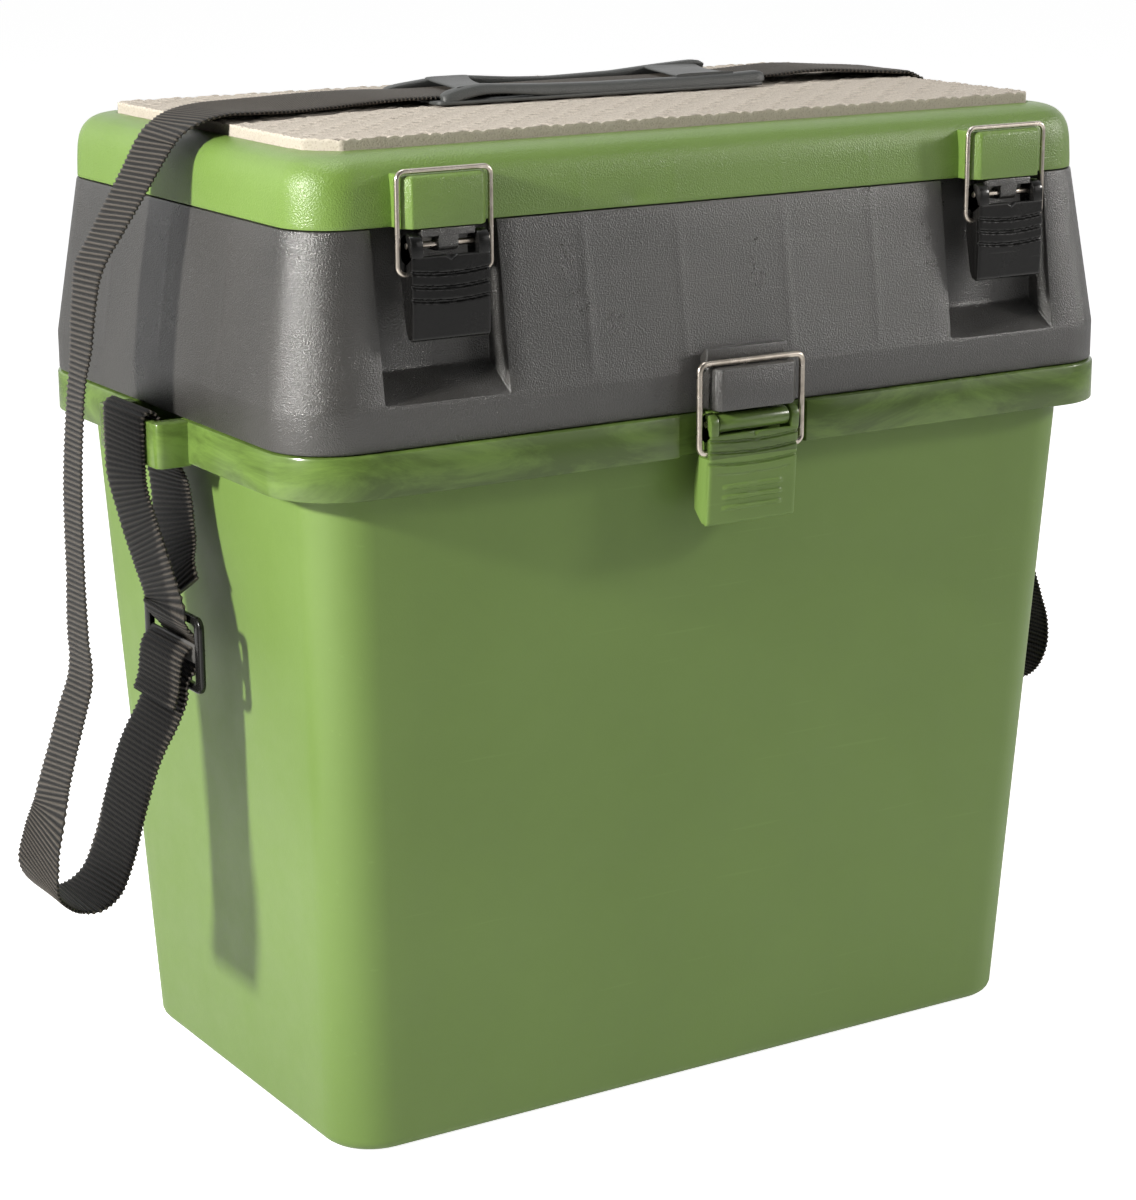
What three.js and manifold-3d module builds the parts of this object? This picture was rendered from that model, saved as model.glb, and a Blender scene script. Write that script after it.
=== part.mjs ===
// A fishing seat box: a deep tub, a tray case that hinges on it, a lid that hinges on the case and
// carries the seat, three toggle latches and a webbing shoulder strap. Millimetres, +Z up, the front
// towards -Y, the origin at the middle of the tub's underside.
import * as THREE from 'three';
import { mergeVertices } from 'three/addons/utils/BufferGeometryUtils.js';
import Module from 'manifold-3d';

const wasm = await Module();
wasm.setup();

// Driving dimensions of the tub and its flange
const tubFoot = { x: 168.2, y: 96.9, r: 22 };
const tubNeck = { x: 180.8, y: 111.7, r: 22 };
const flange = { x: 195, y: 123.3, r: 29, bottom: 273.3, top: 290 };
const footRound = 5;
const tubWall = 3.2;
const flangeWall = 3;
const seam = 0.3;

// The tray case between tub and lid
const caseBottom = flange.top + seam;
const bandTop = 306;
const band = { x: 194.4, y: 120.9, r: 26.5 };
const caseMouth = { x: 185.2, y: 111.4, r: 22, z: 370.85 };
const caseWall = 3;
const floorTop = 293.6;
const recess = { centre: 131.5, half: 26.4, backFoot: -105.5, backHead: -104, footZ: 317.3 };

// The lid and the seat pad let into it
const lidBottom = caseMouth.z + seam;
const lidTop = 397.2;
const padHalf = { x: 168.6, y: 90 };
const padCorner = 3;
const padCut = 11;
const padBottom = 395.4;
const padTop = 401.9;
const padGap = 0.5;

// Rear hinges: two on the tub, two on the lid
const hingeCentre = 115;
const caseHinge = { y: 129, z: 290 };
const lidHinge = { y: 117.5, z: 371 };
const barrelRadius = 5;
const hingePinRadius = 1.9;
const hingeBoreRadius = 2.2;
const middleKnuckleHalf = 8;
const knuckleGap = 0.4;
const knuckleEnd = 22;

// The three toggle latches: pin, lever, wire bail and the catch box that the bail hooks over
const leverWall = 2.3;
const upperLatch = {
  pin: { y: -119.5, z: 365, r: 1.25 },
  ear: 4.6,
  half: 16.5,
  cutHalf: 12.8,
  cutBottom: 357.5,
  grips: [],
  front: [[-124.1, 364.6], [-124.5, 346], [-124, 331.4]],
  foot: [[-122.4, 330.2], [-120.4, 330.4]],
  back: [[-118.6, 333.6], [-116, 346.5], [-115.6, 354.5]],
  grooves: [355.2, 350.2, 345.2],
  bail: { y: -119, z: 354.5, top: 391.85, leg: 19.6, r: 1 },
};
const lowerLatch = {
  pin: { y: -127, z: 286.3, r: 1.4 },
  ear: 4.3,
  half: 21,
  cutHalf: 17.2,
  cutBottom: 282.2,
  grips: [260.8, 256.6, 252.3],
  front: [[-131.3, 286], [-130, 269], [-128.6, 247]],
  foot: [[-127.8, 245.6], [-124.6, 246]],
  back: [[-119.2, 251.5], [-119.3, 264.5], [-122, 273]],
  grooves: [279.6, 275, 270.3],
  bail: { y: -127.6, z: 274.8, top: 310.1, leg: 24.3, r: 1.25 },
};
const grooveDepth = 0.9;
const grooveHeight = 1.3;
const gripHalf = 14;
const gripLift = 0.7;
const fit = 0.35;
const tongueSide = 0.6;
const upperCatch = { half: 14.8, root: 17.6, front: -122, top: 390.5 };
const lowerCatch = { half: 19, front: -132.7, bottom: 291.5, ledge: 308.5, backFace: -125.2, top: 315.4 };
const notchHalf = 30.2;
const notchBack = -119.7;

// Dividers that stand in slots of the tray
const dividerX = 60;
const dividerHalf = 1;
const dividerTop = 350;
const slotSide = 1.5;
const slotRib = 2;

// Strap brackets on the short sides of the flange, webbing and slides
const bracket = { half: 28, gapHalf: 19.9, out: 208.3, bar: 204.3, back: 189.2, bottom: 272.2 };
const webWidth = 38;
const webThickness = 1.6;
const slide = { x: 198.5, y: -16, z: 199, half: 26, tall: 15.5, bar: 3.6, middle: 2.4, side: 5.4, thick: 1.5 };
const lidSplit = 192;
const caseSplit = 300;

// Shoulder pad, a shallow rubber tray with two bridges over the webbing
const shoulder = { x0: -72, x1: 90, y: 17, half: 27, rail: 6, bottom: 402.25, floor: 403.6, top: 408.4 };
const bridge = { length: 26, inset: 12, bottom: 406.6, top: 410.6 };

const cornerSteps = 6;

// Turn a closed geometry into a solid that can be joined and cut
function solid(geometry) {
  const bare = new THREE.BufferGeometry();
  bare.setAttribute('position', geometry.getAttribute('position').clone());
  if (geometry.index) {
    bare.setIndex(geometry.index.clone());
  }
  const merged = mergeVertices(bare, 1e-4);
  return new wasm.Manifold(new wasm.Mesh({
    numProp: 3,
    vertProperties: new Float32Array(merged.getAttribute('position').array),
    triVerts: new Uint32Array(merged.index.array),
  }));
}

// Turn a solid back into a geometry with flat shading
function geometryOf(manifold) {
  const mesh = manifold.getMesh();
  const geometry = new THREE.BufferGeometry();
  geometry.setAttribute('position', new THREE.BufferAttribute(mesh.vertProperties, 3));
  geometry.setIndex(new THREE.BufferAttribute(mesh.triVerts, 1));
  geometry.computeVertexNormals();
  return geometry;
}

// A rounded rectangle at one height, anticlockwise seen from above
function ring(halfX, halfY, radius, z) {
  const points = [];
  const corners = [[1, 1, 0], [-1, 1, 1], [-1, -1, 2], [1, -1, 3]];
  for (const [sx, sy, quarter] of corners) {
    for (let step = 0; step <= cornerSteps; step += 1) {
      const angle = (quarter + step / cornerSteps) * Math.PI / 2;
      points.push(new THREE.Vector3(
        sx * (halfX - radius) + radius * Math.cos(angle),
        sy * (halfY - radius) + radius * Math.sin(angle),
        z,
      ));
    }
  }
  return points;
}

// Skin a closed body through rings of equal count, each ring anticlockwise about the way ahead
function loft(rings) {
  const count = rings[0].length;
  const positions = rings.flat().flatMap((point) => [point.x, point.y, point.z]);
  const index = [];
  for (let level = 0; level + 1 < rings.length; level += 1) {
    for (let i = 0; i < count; i += 1) {
      const a = level * count + i;
      const b = level * count + (i + 1) % count;
      index.push(a, b, b + count, a, b + count, a + count);
    }
  }
  const last = (rings.length - 1) * count;
  for (let i = 1; i + 1 < count; i += 1) {
    index.push(0, i + 1, i);
    index.push(last, last + i, last + i + 1);
  }
  const geometry = new THREE.BufferGeometry();
  geometry.setAttribute('position', new THREE.Float32BufferAttribute(positions, 3));
  geometry.setIndex(index);
  return geometry;
}

function loftSolid(levels) {
  return solid(loft(levels.map(([x, y, r, z]) => ring(x, y, r, z))));
}

function block(x0, x1, y0, y1, z0, z1) {
  const geometry = new THREE.BoxGeometry(x1 - x0, y1 - y0, z1 - z0);
  geometry.translate((x0 + x1) / 2, (y0 + y1) / 2, (z0 + z1) / 2);
  return solid(geometry);
}

function shapeOf(points) {
  return new THREE.Shape(points.map(([x, y]) => new THREE.Vector2(x, y)));
}

// Extrude a side profile, given as [y, z] points, from x0 to x1
function alongX(profile, x0, x1) {
  const geometry = new THREE.ExtrudeGeometry(shapeOf(profile), { depth: x1 - x0, bevelEnabled: false });
  const turn = new THREE.Matrix4().makeBasis(
    new THREE.Vector3(0, 1, 0),
    new THREE.Vector3(0, 0, 1),
    new THREE.Vector3(1, 0, 0),
  );
  geometry.applyMatrix4(turn);
  geometry.translate(x0, 0, 0);
  return solid(geometry);
}

// Extrude a plan, given as [x, y] points, from z0 to z1
function upZ(plan, z0, z1) {
  const geometry = new THREE.ExtrudeGeometry(shapeOf(plan), { depth: z1 - z0, bevelEnabled: false });
  geometry.translate(0, 0, z0);
  return solid(geometry);
}

function rodX(x0, x1, y, z, radius, sides = 16) {
  const geometry = new THREE.CylinderGeometry(radius, radius, x1 - x0, sides);
  geometry.rotateZ(Math.PI / 2);
  geometry.translate((x0 + x1) / 2, y, z);
  return solid(geometry);
}

function joined(solids) {
  return solids.reduce((whole, piece) => whole.add(piece));
}

// One knuckle of a rear hinge: a barrel and the arm that joins it to its wall
function knuckle(hinge, arm, x0, x1) {
  const barrel = rodX(x0, x1, hinge.y, hinge.z, barrelRadius);
  return barrel.add(alongX(arm, x0, x1));
}

function outerKnuckles(hinge, arm) {
  const near = middleKnuckleHalf + knuckleGap;
  const spans = [-1, 1].flatMap((side) => [
    [side * hingeCentre - knuckleEnd, side * hingeCentre - near],
    [side * hingeCentre + near, side * hingeCentre + knuckleEnd],
  ]);
  return joined(spans.map(([x0, x1]) => knuckle(hinge, arm, x0, x1)));
}

function middleKnuckles(hinge, arm) {
  return joined([-1, 1].map((side) => knuckle(
    hinge,
    arm,
    side * hingeCentre - middleKnuckleHalf,
    side * hingeCentre + middleKnuckleHalf,
  )));
}

function hingeBores(hinge) {
  const reach = knuckleEnd + 1;
  return joined([-1, 1].map((side) => rodX(
    side * hingeCentre - reach,
    side * hingeCentre + reach,
    hinge.y,
    hinge.z,
    hingeBoreRadius,
  )));
}

// The round nose that a latch pin passes through, run back to the wall behind it
function tongue(latch, wallY, x0, x1) {
  const { y, z } = latch.pin;
  const radius = latch.ear - tongueSide;
  const nose = rodX(x0, x1, y, z, radius, 20);
  return nose.add(alongX([[y, z - radius], [wallY, z - radius], [wallY, z + radius], [y, z + radius]], x0, x1));
}

// Tub: a tapered open box with a hollow turned-down flange
function makeTub() {
  const outside = loftSolid([
    [tubFoot.x - footRound * 0.7, tubFoot.y - footRound * 0.7, tubFoot.r - footRound * 0.7, 0],
    [tubFoot.x - footRound * 0.15, tubFoot.y - footRound * 0.15, tubFoot.r, footRound * 0.5],
    [tubFoot.x, tubFoot.y, tubFoot.r, footRound],
    [tubNeck.x, tubNeck.y, tubNeck.r, flange.bottom],
    [tubNeck.x, tubNeck.y, tubNeck.r, flange.top],
  ]);
  const inside = loftSolid([
    [tubFoot.x - tubWall - 3, tubFoot.y - tubWall - 3, tubFoot.r - tubWall - 3, tubWall],
    [tubFoot.x - tubWall, tubFoot.y - tubWall, tubFoot.r - tubWall, tubWall + 4],
    [tubNeck.x - tubWall, tubNeck.y - tubWall, tubNeck.r - tubWall, flange.bottom],
    [tubNeck.x - tubWall, tubNeck.y - tubWall, tubNeck.r - tubWall, flange.top + 1],
  ]);
  const collar = loftSolid([
    [flange.x, flange.y, flange.r, flange.bottom],
    [flange.x, flange.y, flange.r, flange.top],
  ]);
  const channel = loftSolid([
    [flange.x - flangeWall, flange.y - flangeWall, flange.r - flangeWall, flange.bottom - 1],
    [flange.x - flangeWall, flange.y - flangeWall, flange.r - flangeWall, flange.top - flangeWall],
  ]);
  const latchBlock = block(-notchHalf - 3, notchHalf + 3, -flange.y + 0.5, -tubNeck.y + 1, flange.bottom,
    flange.top);
  const arm = [[122, 274.5], [123.3, 274.5], [133.6, 288.2], [129, 290], [122, 290]];
  let tub = collar.subtract(channel).add(outside).add(latchBlock).add(outerKnuckles(caseHinge, arm));
  for (const side of [-1, 1]) {
    tub = tub.add(strapBracket(side)).subtract(strapSlot(side));
  }
  const notch = block(-notchHalf, notchHalf, -flange.y - 2, notchBack, flange.bottom - 1, flange.top + 1);
  tub = tub.subtract(notch).subtract(inside);
  const half = lowerLatch.cutHalf - tongueSide;
  tub = tub.add(tongue(lowerLatch, notchBack + 1, -half, half));
  const { y, z, r } = lowerLatch.pin;
  return tub.subtract(rodX(-half - 1, half + 1, y, z, r + fit)).subtract(hingeBores(caseHinge));
}

// A loop moulded on the flange, that the webbing goes round
function strapBracket(side) {
  const { half, out, bottom } = bracket;
  const soft = 3;
  const plan = [
    [flange.x - 1, -half],
    [out - soft, -half],
    [out, -half + soft],
    [out, half - soft],
    [out - soft, half],
    [flange.x - 1, half],
  ];
  const placed = plan.map(([x, y]) => [side * x, y]);
  return upZ(side > 0 ? placed : placed.reverse(), bottom, flange.top);
}

// The slot through that loop, cut back into the flange behind it
function strapSlot(side) {
  const { gapHalf, bar, back, bottom } = bracket;
  const span = [side * back, side * bar].sort((a, b) => a - b);
  return block(span[0], span[1], -gapHalf, gapHalf, bottom - 1, flange.top + 1);
}

// Case: band, sloping walls, floor, latch recesses, slots for the dividers, catch box and knuckles
function makeCase() {
  const outside = loftSolid([
    [band.x - 0.8, band.y - 0.8, band.r - 0.8, caseBottom],
    [band.x, band.y, band.r, caseBottom + 1.2],
    [band.x, band.y, band.r, bandTop],
    [caseMouth.x, caseMouth.y, caseMouth.r, caseMouth.z],
  ]);
  const inside = loftSolid([
    [band.x - caseWall, band.y - caseWall, band.r - caseWall, floorTop],
    [band.x - caseWall, band.y - caseWall, band.r - caseWall, bandTop],
    [caseMouth.x - caseWall, caseMouth.y - caseWall, caseMouth.r - caseWall, caseMouth.z],
    [caseMouth.x - caseWall, caseMouth.y - caseWall, caseMouth.r - caseWall, caseMouth.z + 1],
  ]);
  let shell = outside.subtract(inside);
  for (const side of [-1, 1]) {
    shell = shell.add(recessLining(side * recess.centre));
    shell = shell.subtract(recessCut(side * recess.centre));
    shell = shell.add(dividerSlots(side * dividerX));
  }
  for (const side of [-1, 1]) {
    shell = shell.add(upperTongue(side * recess.centre));
  }
  const { half, front, bottom, ledge, backFace, top } = lowerCatch;
  const bevel = 1.4;
  const catchProfile = [
    [-118.6, bottom],
    [front, bottom],
    [front, ledge - bevel],
    [front + bevel, ledge],
    [backFace - 0.6, ledge],
    [backFace, top - 0.8],
    [backFace + 1, top],
    [-118.2, top],
  ];
  shell = shell.add(alongX(catchProfile.reverse(), -half, half));
  const lowerArm = [[119, 291], [129, 290], [131.2, 294.4], [129, 295], [119, 298]];
  const upperArm = [[110.2, 353], [113, 353], [122.3, 369.2], [117.5, 371], [110.2, 370.6]];
  shell = shell.add(middleKnuckles(caseHinge, lowerArm)).add(outerKnuckles(lidHinge, upperArm));
  return shell.subtract(hingeBores(caseHinge)).subtract(hingeBores(lidHinge));
}

function recessCut(centre) {
  const { half, backFoot, backHead, footZ } = recess;
  const clear = 135;
  const profile = [
    [backFoot, footZ],
    [backHead, caseMouth.z + 1],
    [-clear, caseMouth.z + 1],
    [-clear, bandTop + 0.3],
    [-band.y - 0.4, bandTop + 0.3],
  ];
  return alongX(profile, centre - half, centre + half);
}

function recessLining(centre) {
  const { half, backFoot, backHead, footZ } = recess;
  const profile = [
    [backFoot + caseWall, footZ - caseWall],
    [backHead + caseWall, caseMouth.z],
    [-caseMouth.y + 1, caseMouth.z],
    [-band.y + 1, bandTop],
    [-band.y + 1, bandTop - caseWall - 1],
  ];
  return alongX(profile, centre - half - caseWall, centre + half + caseWall);
}

// The T-shaped tongue in a latch recess that carries the upper lever's pin
function upperTongue(centre) {
  const stem = 4.2;
  const barHalf = upperLatch.cutHalf - tongueSide;
  const nose = tongue(upperLatch, recess.backHead + 1, centre - stem, centre + stem);
  const bar = block(centre - barHalf, centre + barHalf, -122, -117.8, 367.6, 369.4);
  const { y, z, r } = upperLatch.pin;
  return nose.add(bar).subtract(rodX(centre - stem - 1, centre + stem + 1, y, z, r + fit));
}

// Two pairs of low ribs, on the front and the back wall, that hold a divider upright
function dividerSlots(centre) {
  const wall = 0.6;
  const deep = 5;
  const front = [
    [-band.y + caseWall - wall, floorTop - 0.5],
    [-band.y + caseWall + deep, floorTop - 0.5],
    [-band.y + caseWall + deep, bandTop],
    [-111.6 + deep, dividerTop],
    [-111.6 - wall, dividerTop],
    [-band.y + caseWall - wall, bandTop],
  ];
  const ribs = [];
  for (const side of [-1, 1]) {
    const near = centre + side * slotSide;
    const far = centre + side * (slotSide + slotRib);
    const [x0, x1] = [near, far].sort((a, b) => a - b);
    ribs.push(alongX(front, x0, x1));
    ribs.push(alongX(front.map(([y, z]) => [-y, z]).reverse(), x0, x1));
  }
  return joined(ribs);
}

// A divider: a thin upright plate whose ends follow the sloping walls
function makeDivider(centre) {
  const low = band.y - caseWall - 0.5;
  const high = 111.1 - 0.5;
  const z0 = floorTop + seam;
  const profile = [[-low, z0], [low, z0], [low, bandTop], [high, dividerTop], [-high, dividerTop], [-low, bandTop]];
  return alongX(profile, centre - dividerHalf, centre + dividerHalf);
}

// Lid: a shallow cover with rounded top edges, a recess for the pad and two catch boxes
function makeLid() {
  const outside = loftSolid([
    [184.9, 111.1, 21.7, lidBottom],
    [184.4, 110.6, 21.5, 385],
    [182.9, 109.1, 20.5, 390.6],
    [179.6, 105.8, 18, 394.6],
    [174.6, 100.8, 14, 396.7],
    [171.5, 97.7, 12, lidTop],
  ]);
  const inside = loftSolid([
    [181.9, 108.1, 18.7, lidBottom - 1],
    [181.4, 107.6, 18.5, 385],
    [175, 101.2, 14, 392.4],
  ]);
  let lid = outside.subtract(inside);
  const plan = padPlan(padGap);
  lid = lid.subtract(upZ(plan, padBottom - seam, lidTop + 1));
  for (const side of [-1, 1]) {
    lid = lid.add(catchBox(side * recess.centre));
  }
  const arm = [[109.5, 371.8], [117.5, 371], [119.6, 375.4], [117.5, 376], [109.5, 380]];
  return lid.add(middleKnuckles(lidHinge, arm)).subtract(hingeBores(lidHinge));
}

function catchBox(centre) {
  const { half, root, front, top } = upperCatch;
  const wallY = -108.6;
  const bevel = 1.6;
  const plan = [
    [centre - root, wallY],
    [centre - root, front + 3.2],
    [centre - half, front],
    [centre + half, front],
    [centre + root, front + 3.2],
    [centre + root, wallY],
  ];
  const body = upZ(plan, lidBottom, top);
  const slice = [[front - 1, top - bevel], [front + bevel, top + 1], [front - 1, top + 1]];
  return body.subtract(alongX(slice.reverse(), centre - root - 1, centre + root + 1));
}

function padPlan(grow) {
  const x = padHalf.x + grow;
  const y = padHalf.y + grow;
  const c = padCorner;
  return [
    [x - c, -y], [x, -y + c], [x, y - c], [x - c, y],
    [-x + c, y], [-x, y - c], [-x, -y + padCut], [-x + padCut, -y],
  ];
}

// A toggle lever: front plate, two cheeks, ears round the pin and a cut between the ears
function makeLever(latch, centre) {
  const { pin, ear, half, cutHalf, cutBottom, front, foot, back, bail } = latch;
  const crown = [];
  const steps = 8;
  for (let step = 0; step <= steps; step += 1) {
    const angle = step / steps * Math.PI;
    crown.push([pin.y + ear * Math.cos(angle), pin.z + ear * Math.sin(angle)]);
  }
  const profile = [...crown, ...front.slice(1), ...foot, ...back];
  let lever = alongX(profile, centre - half, centre + half);
  const behind = 20;
  const hollow = [
    [front[0][0] + leverWall, pin.z + ear + 1],
    [front[1][0] + leverWall, front[1][1]],
    [front[2][0] + leverWall, front[2][1] + leverWall],
    [front[2][0] + behind, front[2][1] + leverWall],
    [front[0][0] + behind, pin.z + ear + 1],
  ];
  lever = lever.subtract(alongX(hollow, centre - half + leverWall, centre + half - leverWall));
  lever = lever.subtract(block(centre - cutHalf, centre + cutHalf, pin.y - 9, pin.y + 9, cutBottom, pin.z + 9));
  for (const z of latch.grooves) {
    const face = frontFace(front, z);
    lever = lever.subtract(block(centre - half + 3, centre + half - 3, face - 1, face + grooveDepth,
      z - grooveHeight / 2, z + grooveHeight / 2));
  }
  for (const z of latch.grips) {
    const face = frontFace(front, z);
    lever = lever.add(block(centre - gripHalf, centre + gripHalf, face - gripLift, face + 1, z - gripLift,
      z + gripLift));
  }
  for (const side of [-1, 1]) {
    const span = [side * (half - leverWall - 0.5), side * (half + 1)].sort((a, b) => a - b);
    lever = lever.subtract(rodX(centre + span[0], centre + span[1], bail.y, bail.z, bail.r + fit, 12));
  }
  return lever.subtract(rodX(centre - half - 1, centre + half + 1, pin.y, pin.z, pin.r + fit));
}

// The lever's front face at a height, along the two straight spans of its front
function frontFace(front, z) {
  const [[y0, z0], [y1, z1]] = z > front[1][1] ? front : front.slice(1);
  return y0 + (y1 - y0) * (z - z0) / (z1 - z0);
}

function makeLatchPin(latch, centre) {
  const { pin, half } = latch;
  return rodX(centre - half, centre + half, pin.y, pin.z, pin.r, 12);
}

// A wire bail: two turned-in ends, two legs and the bar that hooks over the catch box
function makeBail(latch, centre) {
  const { bail, half } = latch;
  const inner = half - 1.7;
  const corner = 3;
  const at = (x, z) => new THREE.Vector3(centre + x, bail.y, z);
  const path = new THREE.CurvePath();
  const stops = [[-inner, bail.z], [-bail.leg, bail.z], [-bail.leg, bail.top], [bail.leg, bail.top],
    [bail.leg, bail.z], [inner, bail.z]];
  let from = at(...stops[0]);
  for (let i = 1; i + 1 < stops.length; i += 1) {
    const knee = at(...stops[i]);
    const before = new THREE.Vector3().subVectors(from, knee).clampLength(0, corner).add(knee);
    const next = at(...stops[i + 1]);
    const after = new THREE.Vector3().subVectors(next, knee).clampLength(0, corner).add(knee);
    if (before.distanceTo(from) > 0.01) {
      path.add(new THREE.LineCurve3(from, before));
    }
    path.add(new THREE.QuadraticBezierCurve3(before, knee, after));
    from = after;
  }
  const end = at(...stops[stops.length - 1]);
  if (end.distanceTo(from) > 0.01) {
    path.add(new THREE.LineCurve3(from, end));
  }
  const sides = 6;
  const section = [];
  for (let i = 0; i < sides; i += 1) {
    const angle = i / sides * Math.PI * 2;
    section.push([bail.r * Math.cos(angle), bail.r * Math.sin(angle)]);
  }
  return solid(new THREE.ExtrudeGeometry(shapeOf(section), { steps: 60, extrudePath: path, bevelEnabled: false }));
}

// Flat webbing along a route. Each stop is [x, y, z, wx, wy, wz]: a point and the way its width lies
function webbing(stops, perSpan) {
  const route = new THREE.CatmullRomCurve3(stops.map((s) => new THREE.Vector3(s[0], s[1], s[2])), false,
    'centripetal');
  const rings = [];
  const steps = (stops.length - 1) * perSpan;
  for (let i = 0; i <= steps; i += 1) {
    const u = i / steps;
    const point = route.getPoint(u);
    const ahead = route.getTangent(u);
    const place = Math.min(u * (stops.length - 1), stops.length - 1.000001);
    const k = Math.floor(place);
    const a = stops[k];
    const b = stops[k + 1];
    const across = new THREE.Vector3(
      THREE.MathUtils.lerp(a[3], b[3], place - k),
      THREE.MathUtils.lerp(a[4], b[4], place - k),
      THREE.MathUtils.lerp(a[5], b[5], place - k),
    );
    across.addScaledVector(ahead, -across.dot(ahead)).normalize();
    const up = new THREE.Vector3().crossVectors(ahead, across);
    const corner = (w, n) => point.clone()
      .addScaledVector(across, w * webWidth / 2)
      .addScaledVector(up, n * webThickness / 2);
    rings.push([corner(1, 1), corner(-1, 1), corner(-1, -1), corner(1, -1)]);
  }
  return solid(loft(rings));
}

// The strap over the lid, through the shoulder pad. It leaves the left edge on the slant, so that its
// drop leans to the front there, and falls steeply over the right edge
function makeStrapTop() {
  const inTray = shoulder.floor + 0.3 + webThickness / 2;
  return webbing([
    [-lidSplit, -8.3, 397.6, 0.2, 0.97, -0.1],
    [-lidSplit + 2.4, -7.5, 399.6, 0.2, 0.97, -0.1],
    [-183.5, -5, 402.5, 0.27, 0.96, 0],
    [-167, 1.5, 404.3, 0.25, 0.97, 0.07],
    [-120, 12, 405, 0.15, 1, 0.1],
    [-82, 16.4, 405.4, 0.02, 1, 0.02],
    [shoulder.x0 + 8, 17, inTray, 0, 1, 0],
    [0, 17, inTray, 0, 1, 0],
    [shoulder.x1 - 8, 17, inTray, 0, 1, 0],
    [shoulder.x1 + 6, 17, inTray + 0.6, 0, 1, 0],
    [122, 16, 406.4, 0, 1, 0],
    [148, 14, 404.9, 0, 1, 0],
    [162, 12, 404, 0, 1, 0],
    [169.6, 11, 403.1, 0, 1, 0],
    [174.8, 10.2, 400.6, 0, 1, 0],
    [179, 9.2, 397.9, 0, 1, 0],
    [185, 7.8, 393.4, 0, 1, 0],
    [lidSplit - 2.4, 6.7, 388, 0, 1, 0],
    [lidSplit, 6, 383.6, 0, 1, 0],
  ], 3);
}

// From the lid's edge down beside the case
function makeStrapUpper(side) {
  const stops = side < 0
    ? [
      [-lidSplit - 0.25, -8.4, 397.4, 0.2, 0.97, -0.1],
      [-194.6, -9.2, 395.4, 0.2, 0.97, -0.12],
      [-200.5, -11.2, 389.6, 0.15, 0.97, -0.18],
      [-210.3, -14, 377, 0.12, 0.97, -0.2],
      [-220.2, -15.5, 363, 0.1, 0.97, -0.2],
      [-227.6, -16, 352.6, 0.09, 0.97, -0.2],
      [-230.3, -16.5, 346, 0.13, 0.96, -0.2],
      [-233.5, -18.5, 329, 0.18, 0.95, -0.2],
      [-236.3, -20.5, 314, 0.2, 0.95, -0.2],
      [-238.6, -22, caseSplit + 4, 0.21, 0.95, -0.2],
      [-239.2, -22.5, caseSplit, 0.21, 0.95, -0.2],
    ]
    : [
      [lidSplit + 0.3, 5.9, 382.9, 0, 1, 0],
      [194.3, 5.2, 379.2, 0, 1, 0],
      [200, 3, 370, 0, 1, 0],
      [209, -3, 357, 0, 1, 0],
      [218, -8, 344, 0, 1, 0],
      [225, -11, 331, 0, 1, 0],
      [228, -12, 318, 0, 1, 0],
      [228, -12, caseSplit + 4, 0, 1, 0],
      [228, -12, caseSplit, 0, 1, 0],
    ];
  return webbing(stops, 3);
}

// The drop and the hanging slack, up to where it turns towards the slide
function slackOf(side) {
  return side < 0
    ? [
      [-239.25, -22.5, caseSplit - seam, 0.21, 0.95, -0.2],
      [-239.8, -23, caseSplit - 4, 0.21, 0.95, -0.2],
      [-243.6, -27, 264, 0.22, 0.95, -0.2],
      [-245.2, -30, 231, 0.22, 0.95, -0.18],
      [-245.8, -31, 208, 0.2, 0.97, -0.05],
      [-246.2, -31, 196, 0.19, 0.98, 0],
      [-247.8, -30.5, 187, 0.19, 0.98, 0],
      [-251.8, -29.5, 175, 0.18, 0.98, 0],
      [-257.2, -27, 152, 0.15, 0.99, 0],
      [-261.2, -22, 127, 0.1, 1, 0],
      [-260.4, -19, 112, 0, 1, 0],
      [-253, -17, 103.5, 0, 1, 0],
      [-243.5, -17, 101.5, 0, 1, 0],
      [-234.8, -16.5, 106, 0, 1, 0],
      [-228, -16, 119, 0, 1, 0],
      [-221.8, -16, 139, 0, 1, 0],
      [-214.8, -16, 158, 0, 1, 0],
    ]
    : [
      [228, -12, caseSplit - seam, 0, 1, 0],
      [228, -12, caseSplit - 4, 0, 1, 0],
      [227.5, -13, 262, 0, 1, 0],
      [226, -14, 215, 0, 1, 0],
      [227, -15, 180, 0, 1, 0],
      [232.5, -15, 163, 0, 1, 0],
      [237.4, -15, 148, 0, 1, 0],
      [237.2, -15, 135, 0, 1, 0],
      [231.5, -15, 126, 0, 1, 0],
      [223, -15.5, 124, 0, 1, 0],
      [216.5, -16, 131, 0, 1, 0],
      [212, -16, 146, 0, 1, 0],
      [208.5, -16, 162, 0, 1, 0],
    ];
}

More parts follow.
